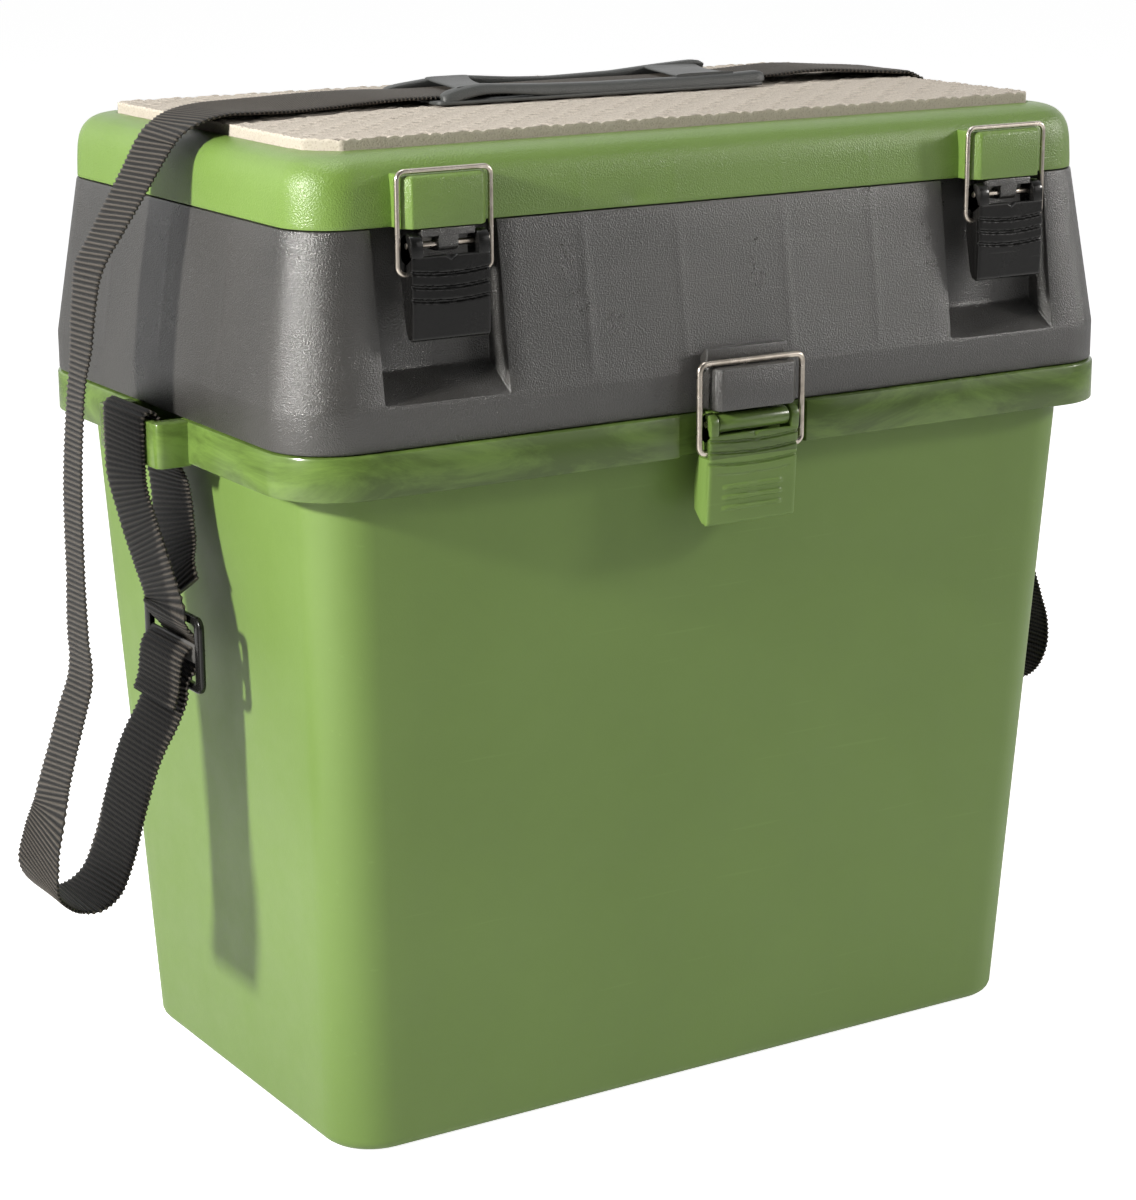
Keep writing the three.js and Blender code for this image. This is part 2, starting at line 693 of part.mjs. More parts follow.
// The slack, then through the slide, up to the bracket, round its bar and back down to the slide
function makeStrapRun(side) {
  const gap = 1.15;
  const outer = slide.x + slide.thick + gap + webThickness / 2;
  const inner = slide.x - slide.thick - gap - webThickness / 2;
  const over = bracket.out + 1.2;
  const loop = [
    [outer + 4.4, slide.y, slide.z - slide.tall - 11],
    [outer + 0.6, slide.y, slide.z - slide.tall - 2],
    [outer, slide.y, slide.z - slide.tall + slide.bar],
    [inner, slide.y, slide.z - slide.middle],
    [inner, slide.y, slide.z + slide.middle],
    [outer, slide.y, slide.z + slide.tall - slide.bar],
    [outer + 0.4, slide.y, slide.z + slide.tall + 2],
    [outer + 2.8, -12, slide.z + slide.tall + 16],
    [over - 2, -5, 249],
    [over, -1, 264],
    [over, 0, 274],
    [over, 0, 286],
    [over - 0.5, 0, 291.2],
    [(over + 203) / 2, 0, 293.2],
    [203, 0, 291],
    [201.6, 0, 286],
    [197, 0, 275],
    [192, 0, 265],
    [190.8, -1, 255],
    [191.8, -4, 241],
    [194.4, -9, slide.z + slide.tall + 14],
    [inner + 0.3, slide.y + 1, slide.z + slide.tall + 4],
  ];
  return webbing([...slackOf(side), ...loop.map(([x, y, z]) => [side * x, y, z, 0, 1, 0])], 3);
}

// A three-bar slide: a frame with a middle bar
function makeSlide(side) {
  const { x, y, z, half, tall, bar, middle, side: cheek, thick } = slide;
  const x0 = side * x - thick;
  const x1 = side * x + thick;
  const soft = 3;
  const profile = [
    [y - half + soft, z - tall],
    [y + half - soft, z - tall],
    [y + half, z - tall + soft],
    [y + half, z + tall - soft],
    [y + half - soft, z + tall],
    [y - half + soft, z + tall],
    [y - half, z + tall - soft],
    [y - half, z - tall + soft],
  ];
  let frame = alongX(profile, x0, x1);
  for (const way of [-1, 1]) {
    const [z0, z1] = [z + way * middle, z + way * (tall - bar)].sort((a, b) => a - b);
    frame = frame.subtract(block(x0 - 1, x1 + 1, y - half + cheek, y + half - cheek, z0, z1));
  }
  return frame;
}

// Shoulder pad: floor, two rails and two bridges, the webbing lying between them
function makeShoulderPad() {
  const { x0, x1, y, half, rail, bottom, floor, top } = shoulder;
  const ends = 5;
  const plan = [
    [x0, y - half + ends],
    [x0 + ends, y - half],
    [x1 - ends, y - half],
    [x1, y - half + ends],
    [x1, y + half - ends],
    [x1 - ends, y + half],
    [x0 + ends, y + half],
    [x0, y + half - ends],
  ];
  const whole = upZ(plan, bottom, top);
  const tray = block(x0 - 1, x1 + 1, y - half + rail, y + half - rail, floor, top + 1);
  const spans = [[x0 + bridge.inset, x0 + bridge.inset + bridge.length],
    [x1 - bridge.inset - bridge.length, x1 - bridge.inset]];
  const lift = bridge.top - bridge.bottom;
  const arch = [
    [y - half + 1, top - 2],
    [y + half - 1, top - 2],
    [y + half - 1, top],
    [y + half - 8, bridge.top],
    [y - half + 8, bridge.top],
    [y - half + 1, top],
  ];
  const under = [
    [y - half + rail, floor],
    [y + half - rail, floor],
    [y + half - rail, bridge.bottom],
    [y - half + rail, bridge.bottom],
  ];
  let pad = whole.subtract(tray);
  for (const [a, b] of spans) {
    pad = pad.add(alongX(arch, a, b).subtract(alongX(under, a - lift, b + lift)));
  }
  return pad;
}

const finishes = {
  green: { color: 0x5f8a3c, roughness: 0.5, metalness: 0 },
  dark: { color: 0x3a3b3b, roughness: 0.55, metalness: 0 },
  black: { color: 0x1d1d1e, roughness: 0.45, metalness: 0 },
  foam: { color: 0xcfc6b4, roughness: 0.9, metalness: 0 },
  steel: { color: 0xb9b4aa, roughness: 0.3, metalness: 1 },
  web: { color: 0x2b2624, roughness: 0.85, metalness: 0 },
  rubber: { color: 0x4a4d4e, roughness: 0.7, metalness: 0 },
};

const group = new THREE.Group();

function addPiece(name, manifold, finish) {
  const mesh = new THREE.Mesh(geometryOf(manifold), new THREE.MeshStandardMaterial(finishes[finish]));
  mesh.name = name;
  group.add(mesh);
}

addPiece('tub', makeTub(), 'green');
addPiece('middle_case', makeCase(), 'dark');
addPiece('lid', makeLid(), 'green');
addPiece('seat_pad', upZ(padPlan(0), padBottom, padTop), 'foam');

for (const [name, side] of [['left', -1], ['right', 1]]) {
  const centre = side * recess.centre;
  addPiece(`upper_${name}_lever`, makeLever(upperLatch, centre), 'black');
  addPiece(`upper_${name}_lever_pin`, makeLatchPin(upperLatch, centre), 'steel');
  addPiece(`upper_${name}_bail`, makeBail(upperLatch, centre), 'steel');
  const x = side * hingeCentre;
  const reach = knuckleEnd + 0.5;
  for (const [joint, hinge] of [['case', caseHinge], ['lid', lidHinge]]) {
    const pin = rodX(x - reach, x + reach, hinge.y, hinge.z, hingePinRadius, 12);
    addPiece(`${joint}_hinge_pin_${name}`, pin, 'steel');
  }
  addPiece(`divider_${name}`, makeDivider(side * dividerX), 'dark');
  addPiece(`strap_${name}_upper`, makeStrapUpper(side), 'web');
  addPiece(`strap_${name}_run`, makeStrapRun(side), 'web');
  addPiece(`slide_${name}`, makeSlide(side), 'black');
}
addPiece('lower_lever', makeLever(lowerLatch, 0), 'green');
addPiece('lower_lever_pin', makeLatchPin(lowerLatch, 0), 'steel');
addPiece('lower_bail', makeBail(lowerLatch, 0), 'steel');
addPiece('strap_top', makeStrapTop(), 'web');
addPiece('shoulder_pad', makeShoulderPad(), 'rubber');

export default group;
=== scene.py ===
import math

import bpy
import numpy as np
from mathutils import Matrix, Vector


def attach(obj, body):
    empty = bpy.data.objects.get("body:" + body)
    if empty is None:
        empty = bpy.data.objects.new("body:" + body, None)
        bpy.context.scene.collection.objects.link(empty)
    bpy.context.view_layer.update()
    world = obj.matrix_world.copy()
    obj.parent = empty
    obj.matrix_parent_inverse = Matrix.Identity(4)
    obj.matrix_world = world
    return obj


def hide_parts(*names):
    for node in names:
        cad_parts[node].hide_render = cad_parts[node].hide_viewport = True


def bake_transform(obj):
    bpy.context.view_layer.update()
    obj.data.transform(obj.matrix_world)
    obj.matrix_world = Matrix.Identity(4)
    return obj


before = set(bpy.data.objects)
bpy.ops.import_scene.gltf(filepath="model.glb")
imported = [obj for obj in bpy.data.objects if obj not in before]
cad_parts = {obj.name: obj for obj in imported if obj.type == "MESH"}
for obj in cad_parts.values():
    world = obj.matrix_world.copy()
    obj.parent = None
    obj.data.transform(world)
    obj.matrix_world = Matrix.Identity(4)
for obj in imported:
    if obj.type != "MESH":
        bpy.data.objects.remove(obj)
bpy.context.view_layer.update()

# ---------------------------------------------------------------------------------------------
# Where the photograph was taken from. The box stands on the floor with its front turned a third
# of a right angle away; the camera is a long lens a little above the seat, looking down on it.
LENS_MM = 91.43
CAMERA_AT = Vector((-0.6781, -1.0853, 0.5235))
CAMERA_YAW, CAMERA_PITCH, CAMERA_ROLL = (math.radians(a) for a in (31.79, 14.83, -0.25))

ahead = Vector((
    math.sin(CAMERA_YAW) * math.cos(CAMERA_PITCH),
    math.cos(CAMERA_YAW) * math.cos(CAMERA_PITCH),
    -math.sin(CAMERA_PITCH),
))
level = Vector((math.cos(CAMERA_YAW), -math.sin(CAMERA_YAW), 0))
rightwards = level * math.cos(CAMERA_ROLL) + level.cross(ahead) * math.sin(CAMERA_ROLL)
upwards = rightwards.cross(ahead)
camera = bpy.data.objects.new("camera", bpy.data.cameras.new("camera"))
camera.data.lens = LENS_MM
camera.data.clip_start, camera.data.clip_end = 0.05, 50
camera.matrix_world = Matrix((
    (rightwards.x, upwards.x, -ahead.x, CAMERA_AT.x),
    (rightwards.y, upwards.y, -ahead.y, CAMERA_AT.y),
    (rightwards.z, upwards.z, -ahead.z, CAMERA_AT.z),
    (0, 0, 0, 1),
))
bpy.context.scene.collection.objects.link(camera)
bpy.context.scene.camera = camera
bpy.context.scene.view_settings.view_transform = "Standard"

# ---------------------------------------------------------------------------------------------
# The studio: a white paper floor and a white backdrop behind, the room dim in front. A small lamp
# to the left throws the strap's shadow on the left end, one far to the right rakes the front, a
# wide panel before it shows in the upper walls' sheen, and a soft lamp hangs overhead.
MIDDLE_OF_BOX = Vector((0, 0, 0.2))


def lamp(name, way, distance, size, watts, warmth):
    """A square area lamp at the box's middle plus way times distance, turned back towards it."""
    light = bpy.data.lights.new(name, "AREA")
    light.size, light.energy, light.color = size, watts, warmth
    holder = bpy.data.objects.new(name, light)
    way = Vector(way).normalized()
    holder.location = MIDDLE_OF_BOX + way * distance
    holder.rotation_mode = "QUATERNION"
    holder.rotation_quaternion = way.to_track_quat("Z", "Y")
    bpy.context.scene.collection.objects.link(holder)


lamp("lamp_left", (-1.146, -0.2, 0.5), 1.29, 0.09, 22, (1.0, 0.98, 0.94))
lamp("lamp_right", (0.82, -0.43, 0.38), 1.5, 0.2, 8.5, (1.0, 0.97, 0.93))
lamp("lamp_front", (0.62, -0.78, 0.34), 2.2, 1.2, 6, (1.0, 0.98, 0.95))
lamp("lamp_overhead", (0.0, 0.1, 1.0), 2.4, 1.2, 18, (1.0, 1.0, 1.0))


def node_tree(material_or_world):
    """Empties the node tree of a material or world. Gives the short way to add a node to it: its kind,
    its inputs (a number, a socket, or a node for that node's first output) and its settings."""
    material_or_world.use_nodes = True
    tree = material_or_world.node_tree
    tree.nodes.clear()

    def add(kind, inputs=(), **settings):
        node = tree.nodes.new("ShaderNode" + kind)
        for key, value in settings.items():
            setattr(node, key, value)
        for socket, value in dict(inputs).items():
            if isinstance(value, bpy.types.Node):
                value = value.outputs[0]
            if isinstance(value, bpy.types.NodeSocket):
                tree.links.new(value, node.inputs[socket])
            else:
                node.inputs[socket].default_value = value
        return node

    return add


def ramp(add, value, start, end, low=0.0, high=1.0):
    """A value that goes from start to end, stretched to go from low to high and held beyond."""
    return add("MapRange", {"Value": value, "From Min": start, "From Max": end, "To Min": low, "To Max": high})


def maths(add, operation, *terms):
    """One operation on sockets and numbers."""
    return add("Math", dict(enumerate(terms)), operation=operation)


surroundings = bpy.data.worlds.new("surroundings")
bpy.context.scene.world = surroundings
add = node_tree(surroundings)
path = add("LightPath")
seen = maths(add, "MAXIMUM", path.outputs["Is Camera Ray"], path.outputs["Is Transmission Ray"])
way = add("SeparateXYZ", {0: add("TexCoord").outputs["Generated"]})
backdrop = ramp(add, way.outputs[1], -0.7, 0.5)
mirrored = maths(add, "MULTIPLY", path.outputs["Is Glossy Ray"], backdrop)
seen = maths(add, "MAXIMUM", seen, mirrored)
strength = ramp(add, seen, 0.0, 1.0, 0.07, 1.0)
sky = add("Background", {"Color": (1, 1, 1, 1), "Strength": strength})
add("OutputWorld", {"Surface": sky})

FLOOR_HALF, FLOOR_Z = 9, -0.0006
floor_mesh = bpy.data.meshes.new("floor")
corners = [(x * FLOOR_HALF, y * FLOOR_HALF, FLOOR_Z) for x, y in ((-1, -1), (1, -1), (1, 1), (-1, 1))]
floor_mesh.from_pydata(corners, [], [(0, 1, 2, 3)])
floor = bpy.data.objects.new("floor", floor_mesh)
bpy.context.scene.collection.objects.link(floor)
paper = bpy.data.materials.new("white_paper")
add = node_tree(paper)
path = add("LightPath")
mirrored = maths(add, "MULTIPLY", path.outputs["Is Glossy Ray"], 0.25)
seen = maths(add, "MAXIMUM", path.outputs["Is Camera Ray"], mirrored)
matt = add("BsdfDiffuse", {"Color": (0.80, 0.80, 0.80, 1)})
glow = ramp(add, seen, 0.0, 1.0, 0.0, 0.93)
shine = add("Emission", {"Color": (1, 1, 1, 1), "Strength": glow})
both = add("AddShader", {0: matt, 1: shine})
add("OutputMaterial", {"Surface": both})
floor_mesh.materials.append(paper)

# ---------------------------------------------------------------------------------------------
# The tub: one deep injection moulding in green polypropylene. Its walls taper, and its rim turns
# out and down into a hollow flange, let back in front for the lower latch and at both ends for the
# strap. Loops, tongue and hinge knuckles are moulded on.
MM = 0.001
FOOT, NECK, FLANGE = (168.2, 96.9, 22.0), (180.8, 111.7, 22.0), (195.0, 123.3, 29.0)
FLANGE_LOW, FLANGE_TOP = 273.3, 290.0
FOOT_ROUND, TUB_WALL, SKIRT = 5.0, 3.2, 3.0
NOTCH_HALF, NOTCH_DEEP, SLOT_HALF, SLOT_DEEP = 30.2, 3.6, 19.9, 5.8
ON_CORNER = 9


def plain(*places, share=0):
    """Columns at the given places of a straight side; share 1 puts them at a recess's full depth."""
    return np.array([(place, 0, 0, share, 0) for place in places], float)


def step_in(at, into):
    """Six columns that turn into a recess at the place at, or out of it where into is -1. Each is
    (place, rounding along, rounding inwards, share of the depth, way the side wall moves)."""
    columns = np.array([
        (at, -1, 0, 0, -1), (at, -0.3, 0.3, 0, -1), (at, -0.05, 1, 0, -1),
        (at, 0.05, -1, 1, -1), (at, 0.3, -0.3, 1, -1), (at, 1, 0, 1, -1),
    ], float)
    return columns if into > 0 else columns[::-1] * (1, -1, 1, 1, -1)


def perimeter(front, back, side, corner_steps=10):
    """All columns of a rounded rectangle, anticlockwise from the right side. Each holds its fixed
    place, the corner's signs, the outward cosine and sine, its side's number, and its recess terms."""
    parts = []
    for number, straight in enumerate((side, back[::-1], side[::-1], front)):
        quarter = number * math.pi / 2
        run = np.zeros((len(straight), 11))
        run[:, (number + 1) % 2] = straight[:, 0]
        run[:, 2], run[:, 3] = round(math.cos(quarter)), round(math.sin(quarter))
        run[:, 4:6], run[:, 6], run[:, 7:] = run[:, 2:4], number, straight[:, 1:]
        angle = quarter + np.linspace(0, math.pi / 2, corner_steps + 1)
        corner = np.zeros((corner_steps + 1, 11))
        corner[:, 2], corner[:, 3] = np.sign(math.cos(quarter + 0.1)), np.sign(math.sin(quarter + 0.1))
        corner[:, 4], corner[:, 5], corner[:, 6] = np.cos(angle), np.sin(angle), ON_CORNER
        parts += [run, corner]
    return np.vstack(parts)


def walls(columns, rows, edge=0.7):
    """Points of walls that are rounded rectangles in plan: x = place + sign (half width - radius) +
    radius cosine, y alike. A row is (half x, half y, radius, z, recess depth right, back, left and
    front, widening of the recesses, 1 for corners cut straight)."""
    rows = np.array(rows, float)
    hx, hy, r, z = (rows[:, k:k + 1] for k in range(4))
    number = columns[:, 6].astype(int)
    depth = np.hstack([rows[:, 4:8], np.zeros((len(rows), 6))])[:, number]
    straight = number < ON_CORNER
    inwards = columns[:, 8] * np.minimum(edge, depth / 2) + columns[:, 9] * depth
    along = columns[:, 7] * edge + columns[:, 10] * rows[:, 8:9]
    taxi = 1 / (np.abs(columns[:, 4]) + np.abs(columns[:, 5]))
    reach = r * (1 + rows[:, 9:10] * (taxi - 1))
    on_x, on_y = straight & (number % 2 == 1), straight & (number % 2 == 0)
    x = columns[:, 0] + columns[:, 2] * (hx - r - inwards * on_y) + reach * columns[:, 4] + along * on_x
    y = columns[:, 1] + columns[:, 3] * (hy - r - inwards * on_x) + reach * columns[:, 5] + along * on_y
    return np.stack([x, y, np.broadcast_to(z, x.shape)], -1)


def closed_skin(grid):
    """A part from a grid of points: its rows joined round and round, both ends closed by fans."""
    rows, cols = grid.shape[:2]
    start = np.arange(rows - 1)[:, None] * cols
    here = np.arange(cols)
    there = (here + 1) % cols
    quads = np.stack([start + here, start + there, start + cols + there, start + cols + here], -1).reshape(-1, 4)
    low, high, last = rows * cols, rows * cols + 1, (rows - 1) * cols
    ends = np.vstack([
        np.stack([np.full(cols, low), there, here], -1),
        np.stack([np.full(cols, high), last + here, last + there], -1),
    ])
    return np.vstack([grid.reshape(-1, 3), grid[0].mean(0), grid[-1].mean(0)]), [quads, ends]


def soft_outline(points, radius, steps=4):
    """An outline with every corner turned into a short parabola that starts radius before it."""
    points = np.array(points, float)
    before, after = np.roll(points, 1, 0) - points, np.roll(points, -1, 0) - points
    lengths = [np.linalg.norm(way, axis=1, keepdims=True) for way in (before, after)]
    before, after = (way * np.minimum(radius / size, 0.45) for way, size in zip((before, after), lengths))
    t = np.linspace(0, 1, steps)[None, :, None]
    return (points[:, None] + before[:, None] * (1 - t) ** 2 + after[:, None] * t ** 2).reshape(-1, 2)


def pushed(outline, low, high, axis="x", edge=0.35):
    """A part from an outline in the plane across axis, pushed from low to high. At both ends the
    outline shrinks along its corners' bisectors over the distance edge, which rounds the rim."""
    flat = np.array(outline, float)
    nxt = np.roll(flat, -1, 0)
    if np.sum(flat[:, 0] * nxt[:, 1] - nxt[:, 0] * flat[:, 1]) < 0:
        flat = flat[::-1]
    after = np.roll(flat, -1, 0) - flat
    after /= np.linalg.norm(after, axis=1, keepdims=True) + 1e-9
    normal = np.stack([after[:, 1], -after[:, 0]], -1)
    earlier = np.roll(normal, 1, 0)
    bisector = (normal + earlier) / np.maximum(1 + np.sum(normal * earlier, 1, keepdims=True), 0.4)
    shrink = np.array([1, 0.3, 0, 0, 0.3, 1]) * edge
    places = np.array([low, low + 0.3 * edge, low + edge, high - edge, high - 0.3 * edge, high])
    rows = flat[None] - bisector[None] * shrink[:, None, None]
    grid = np.concatenate([rows, np.broadcast_to(places[:, None, None], rows.shape[:2] + (1,))], -1)
    grid = grid[..., {"x": (2, 0, 1), "z": (0, 1, 2), "y": (1, 2, 0)}[axis]]
    count = len(flat)
    points, (quads, _) = closed_skin(grid)
    here = np.arange(count)
    return points[:-2], [quads, here[::-1][None], (here + 5 * count)[None]]


def barrel(centre, radius, low, high, edge=0.4, sides=28):
    """A round bar along x about a centre in y and z, its rims rounded over the distance edge."""
    angle = np.linspace(0, 2 * math.pi, sides, endpoint=False)
    outline = np.stack([centre[0] + radius * np.cos(angle), centre[1] + radius * np.sin(angle)], -1)
    return pushed(outline, low, high, "x", edge)


def piece_of(name, parts, material, body, sharp=34, weave=None):
    """An object from parts given in millimetres, in one mesh, smooth except over edges sharper than
    sharp degrees. It rides on body, if one is given. weave, one vector a point, is an attribute that
    its material reads."""
    base, points, corners, sizes = 0, [], [], []
    for part_points, groups in parts:
        points.append(part_points)
        for group in groups:
            corners.append((group + base).ravel())
            sizes.append(np.full(len(group), group.shape[1]))
        base += len(part_points)
    points, corners, sizes = np.vstack(points) * MM, np.concatenate(corners), np.concatenate(sizes)
    mesh = bpy.data.meshes.new(name)
    mesh.vertices.add(len(points))
    mesh.vertices.foreach_set("co", points.astype(np.float32).ravel())
    mesh.loops.add(len(corners))
    mesh.loops.foreach_set("vertex_index", corners.astype(np.int32))
    mesh.polygons.add(len(sizes))
    mesh.polygons.foreach_set("loop_start", (np.cumsum(sizes) - sizes).astype(np.int32))
    mesh.update(calc_edges=True)
    if weave is not None:
        attribute = mesh.attributes.new("weave", "FLOAT_VECTOR", "POINT")
        attribute.data.foreach_set("vector", weave.astype(np.float32).ravel())
    mesh.shade_smooth()
    mesh.set_sharp_from_angle(angle=math.radians(sharp))
    mesh.materials.append(material)
    piece = bpy.data.objects.new(name, mesh)
    bpy.context.scene.collection.objects.link(piece)
    if body:
        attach(piece, body)
    return piece


def mixed(add, share, *colours):
    """The first of two colours turned into the second by share. Each is a socket or three numbers."""
    one, other = ((*colour, 1) if isinstance(colour, tuple) else colour for colour in colours)
    return add("Mix", {0: share, 6: one, 7: other}, data_type="RGBA").outputs[2]


def coated(add, colour, roughness, bump, constants):
    """The end of a material: bump (a height, its strength and its depth in metres), the shader, and the
    shader's sockets that hold a constant."""
    relief = add("Bump", dict(zip(("Height", "Strength", "Distance"), bump)))
    shader = add("BsdfPrincipled", {"Base Color": colour, "Roughness": roughness, "Normal": relief})
    for socket, value in constants.items():
        shader.inputs[socket].default_value = value
    add("OutputMaterial", {"Surface": shader})


NOWHERE = 9.0


def moulded_plastic(name, colour, other, roughness, grain, depth, scuffs, gloss, polished=NOWHERE):
    """Moulded plastic. Colour drifts to other in clouds and pales in hair scratches; the bump is a
    pebbled grain of cells grain millimetres wide; roughness is patchy where it was handled. Above
    the height polished, in metres, the surface is smooth and its colour darker in stretched, smeared patches."""
    material = bpy.data.materials.new(name)
    add = node_tree(material)
    place = add("TexCoord").outputs["Object"]
    clouds = add("TexNoise", {"Vector": place, "Scale": 9.0, "Detail": 4.0, "Roughness": 0.6})
    tint = mixed(add, ramp(add, clouds, 0.35, 0.7), colour, other)
    turned = add("Mapping", {"Vector": place, "Rotation": (0.3, 0.7, 0.5), "Scale": (18.0, 520.0, 520.0)})
    hairs = add("TexNoise", {"Vector": turned, "Scale": 1.0, "Detail": 1.0})
    pale = tuple(min(1, c * 1.4 + 0.02) for c in other)
    worn = mixed(add, ramp(add, hairs, 0.72, 0.78, 0.0, scuffs), tint, pale)
    cells = add("TexVoronoi", {"Vector": place, "Scale": 1000.0 / grain}, feature="SMOOTH_F1")
    fine = add("TexNoise", {"Vector": place, "Scale": 1500.0 / grain, "Detail": 2.0})
    pebble = maths(add, "ADD", cells.outputs["Distance"], fine)
    patchy = add("TexNoise", {"Vector": place, "Scale": 35.0, "Detail": 5.0, "Roughness": 0.65})
    handled = ramp(add, patchy, 0.3, 0.7, roughness - 0.05, roughness + 0.08)
    above = maths(add, "GREATER_THAN", add("SeparateXYZ", {0: place}).outputs[2], polished)
    smear_place = add("Mapping", {"Vector": place, "Scale": (14.0, 14.0, 45.0)})
    smears = add("TexNoise", {"Vector": smear_place, "Scale": 1.0, "Detail": 6.0, "Roughness": 0.7, "Distortion": 1.2})
    darker_smears = mixed(add, ramp(add, smears, 0.42, 0.66), tuple(c * 0.52 for c in colour), colour)
    coated(add, mixed(add, above, worn, darker_smears), ramp(add, above, 0.0, 1.0, handled, 0.24),
           (pebble, ramp(add, above, 0.0, 1.0, depth, 0.05), 0.0002), {"Specular IOR Level": gloss})
    return material


def drawn_in(plan, amount, z, deep=0.0, front=0.0, wider=0.0, cut=0.0):
    """One row of walls: the plan drawn in by amount at height z. deep opens the flange's slots and
    notch, front is the depth of recesses in the front alone, wider moves their side walls."""
    hx, hy, r = plan
    return (hx - amount, hy - amount, max(r - amount, 1.0), z, deep * SLOT_DEEP, 0, deep * SLOT_DEEP,
            deep * NOTCH_DEEP + front, wider, cut)


green_satin = moulded_plastic("green_satin", (0.138, 0.224, 0.048), (0.152, 0.244, 0.056), 0.42,
                              0.8, 0.12, 0.12, 0.45, polished=FLANGE_LOW * MM - 0.0007)
turns = np.radians(np.linspace(0, 90, 7))
tub_rows = [drawn_in(FOOT, FOOT_ROUND * (1 - math.sin(a)), FOOT_ROUND * (1 - math.cos(a))) for a in turns]
tub_rows += [
    drawn_in(NECK, 0, FLANGE_LOW - 6), drawn_in(NECK, 0, FLANGE_TOP - SKIRT),
    drawn_in(FLANGE, SKIRT, FLANGE_TOP - SKIRT, 1), drawn_in(FLANGE, SKIRT, FLANGE_LOW + 0.3, 1),
    drawn_in(FLANGE, SKIRT - 0.3, FLANGE_LOW, 1), drawn_in(FLANGE, 0.6, FLANGE_LOW, 1),
    drawn_in(FLANGE, 0.15, FLANGE_LOW + 0.2, 1), drawn_in(FLANGE, 0, FLANGE_LOW + 0.7, 1),
    drawn_in(FLANGE, 0, FLANGE_TOP - 1.2, 1), drawn_in(FLANGE, 0.35, FLANGE_TOP - 0.35, 1),
    drawn_in(FLANGE, 1.2, FLANGE_TOP, 1), drawn_in(NECK, TUB_WALL - 0.5, FLANGE_TOP),
    drawn_in(NECK, TUB_WALL, FLANGE_TOP - 0.5), drawn_in(NECK, TUB_WALL, FLANGE_LOW),
    drawn_in(FOOT, TUB_WALL, 8.5), drawn_in(FOOT, TUB_WALL + 1.5, 4.6), drawn_in(FOOT, TUB_WALL + 5, TUB_WALL),
]
tub_columns = perimeter(
    front=np.vstack([plain(-140, -100, -60), step_in(-NOTCH_HALF, 1), plain(-15, 15, share=1),
                     step_in(NOTCH_HALF, -1), plain(60, 100, 140)]),
    back=plain(-140, -70, 0, 70, 140),
    side=np.vstack([plain(-70, -40), step_in(-SLOT_HALF, 1), plain(0, share=1), step_in(SLOT_HALF, -1),
                    plain(40, 70)]),
)
tub = piece_of("tub_moulding", [closed_skin(walls(tub_columns, tub_rows))], green_satin, "tub")
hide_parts("tub")

KNUCKLE_AT, KNUCKLE_MID, KNUCKLE_NEAR, KNUCKLE_END, KNUCKLE_ROUND = 115.0, 8.0, 8.4, 22.0, 5.0
CASE_HINGE, LID_HINGE = (129.0, 290.0), (117.5, 371.0)


def knuckles(centre, arm, outer):
    """Hinge knuckles at both hinges: the middle one of each, or with outer the two beside it."""
    spans = ((-KNUCKLE_MID, KNUCKLE_MID),)
    if outer:
        spans = ((-KNUCKLE_END, -KNUCKLE_NEAR), (KNUCKLE_NEAR, KNUCKLE_END))
    places = [(side + low, side + high) for side in (-KNUCKLE_AT, KNUCKLE_AT) for low, high in spans]
    barrels = [barrel(centre, KNUCKLE_ROUND, *place) for place in places]
    return barrels + [pushed(arm, a + 0.4, b - 0.4) for a, b in places]


tub_arm = [(121, 274.5), (123.3, 274.5), (133.4, 287.8), (129, 289.9), (121, 289.6)]
piece_of("tub_knuckles", knuckles(CASE_HINGE, tub_arm, True), green_satin, "tub")


def strap_loop(side):
    """The moulded loop for the strap: a U in plan with round corners, as tall as the flange."""
    outer = soft_outline([(194.0, -28), (208.3, -28), (208.3, 28), (194.0, 28)], 3.2, 6)
    inner = [(194.0, SLOT_HALF), (203.6, SLOT_HALF), (204.3, SLOT_HALF - 0.7),
             (204.3, 0.7 - SLOT_HALF), (203.6, -SLOT_HALF), (194.0, -SLOT_HALF)]
    outline = np.vstack([outer[4:-4], [(194.0, 28)], inner, [(194.0, -28)]])
    return pushed(outline * (side, 1), 272.2, FLANGE_TOP, "z", 0.7)


LOWER_PIN = (-127.0, 286.3)


def round_nose(centre, radius, tail):
    """A side outline: half a circle about centre that faces the front, then the points of tail."""
    angle = np.linspace(math.pi / 2, 1.5 * math.pi, 16)
    arc = np.stack([centre[0] + radius * np.cos(angle), centre[1] + radius * np.sin(angle)], -1)
    return np.vstack([arc, tail])


tongue = pushed(round_nose(LOWER_PIN, 3.7, [(-118.6, 282.6), (-118.6, 290.0)]), -16.6, 16.6)
piece_of("strap_loops", [strap_loop(1), strap_loop(-1), tongue], green_satin, "tub")

# ---------------------------------------------------------------------------------------------
# The tray case: a grained black moulding that stands on the flange. A plain band runs round its
# foot, the walls above lean in to the lid, and the front is let back for the two upper latches.
BAND, MOUTH, MOUTH_Z = (194.4, 120.9, 26.5), (185.2, 111.4, 22.0), 370.85
CASE_LOW, BAND_TOP, CASE_WALL, TRAY_FLOOR = 290.3, 306.0, 3.0, 293.6
RECESS_AT, RECESS_HALF, RECESS_FOOT = 131.5, 26.4, 317.3
case_black = moulded_plastic("case_black", (0.028, 0.027, 0.025), (0.042, 0.040, 0.037), 0.31, 0.55, 1.0, 0.3, 0.9)


def case_plan(z):
    """Half widths and corner radius of the case at height z: the band's, then straight to the mouth's."""
    t = min(max((z - BAND_TOP) / (MOUTH_Z - BAND_TOP), 0), 1)
    return tuple(a + t * (b - a) for a, b in zip(BAND, MOUTH))


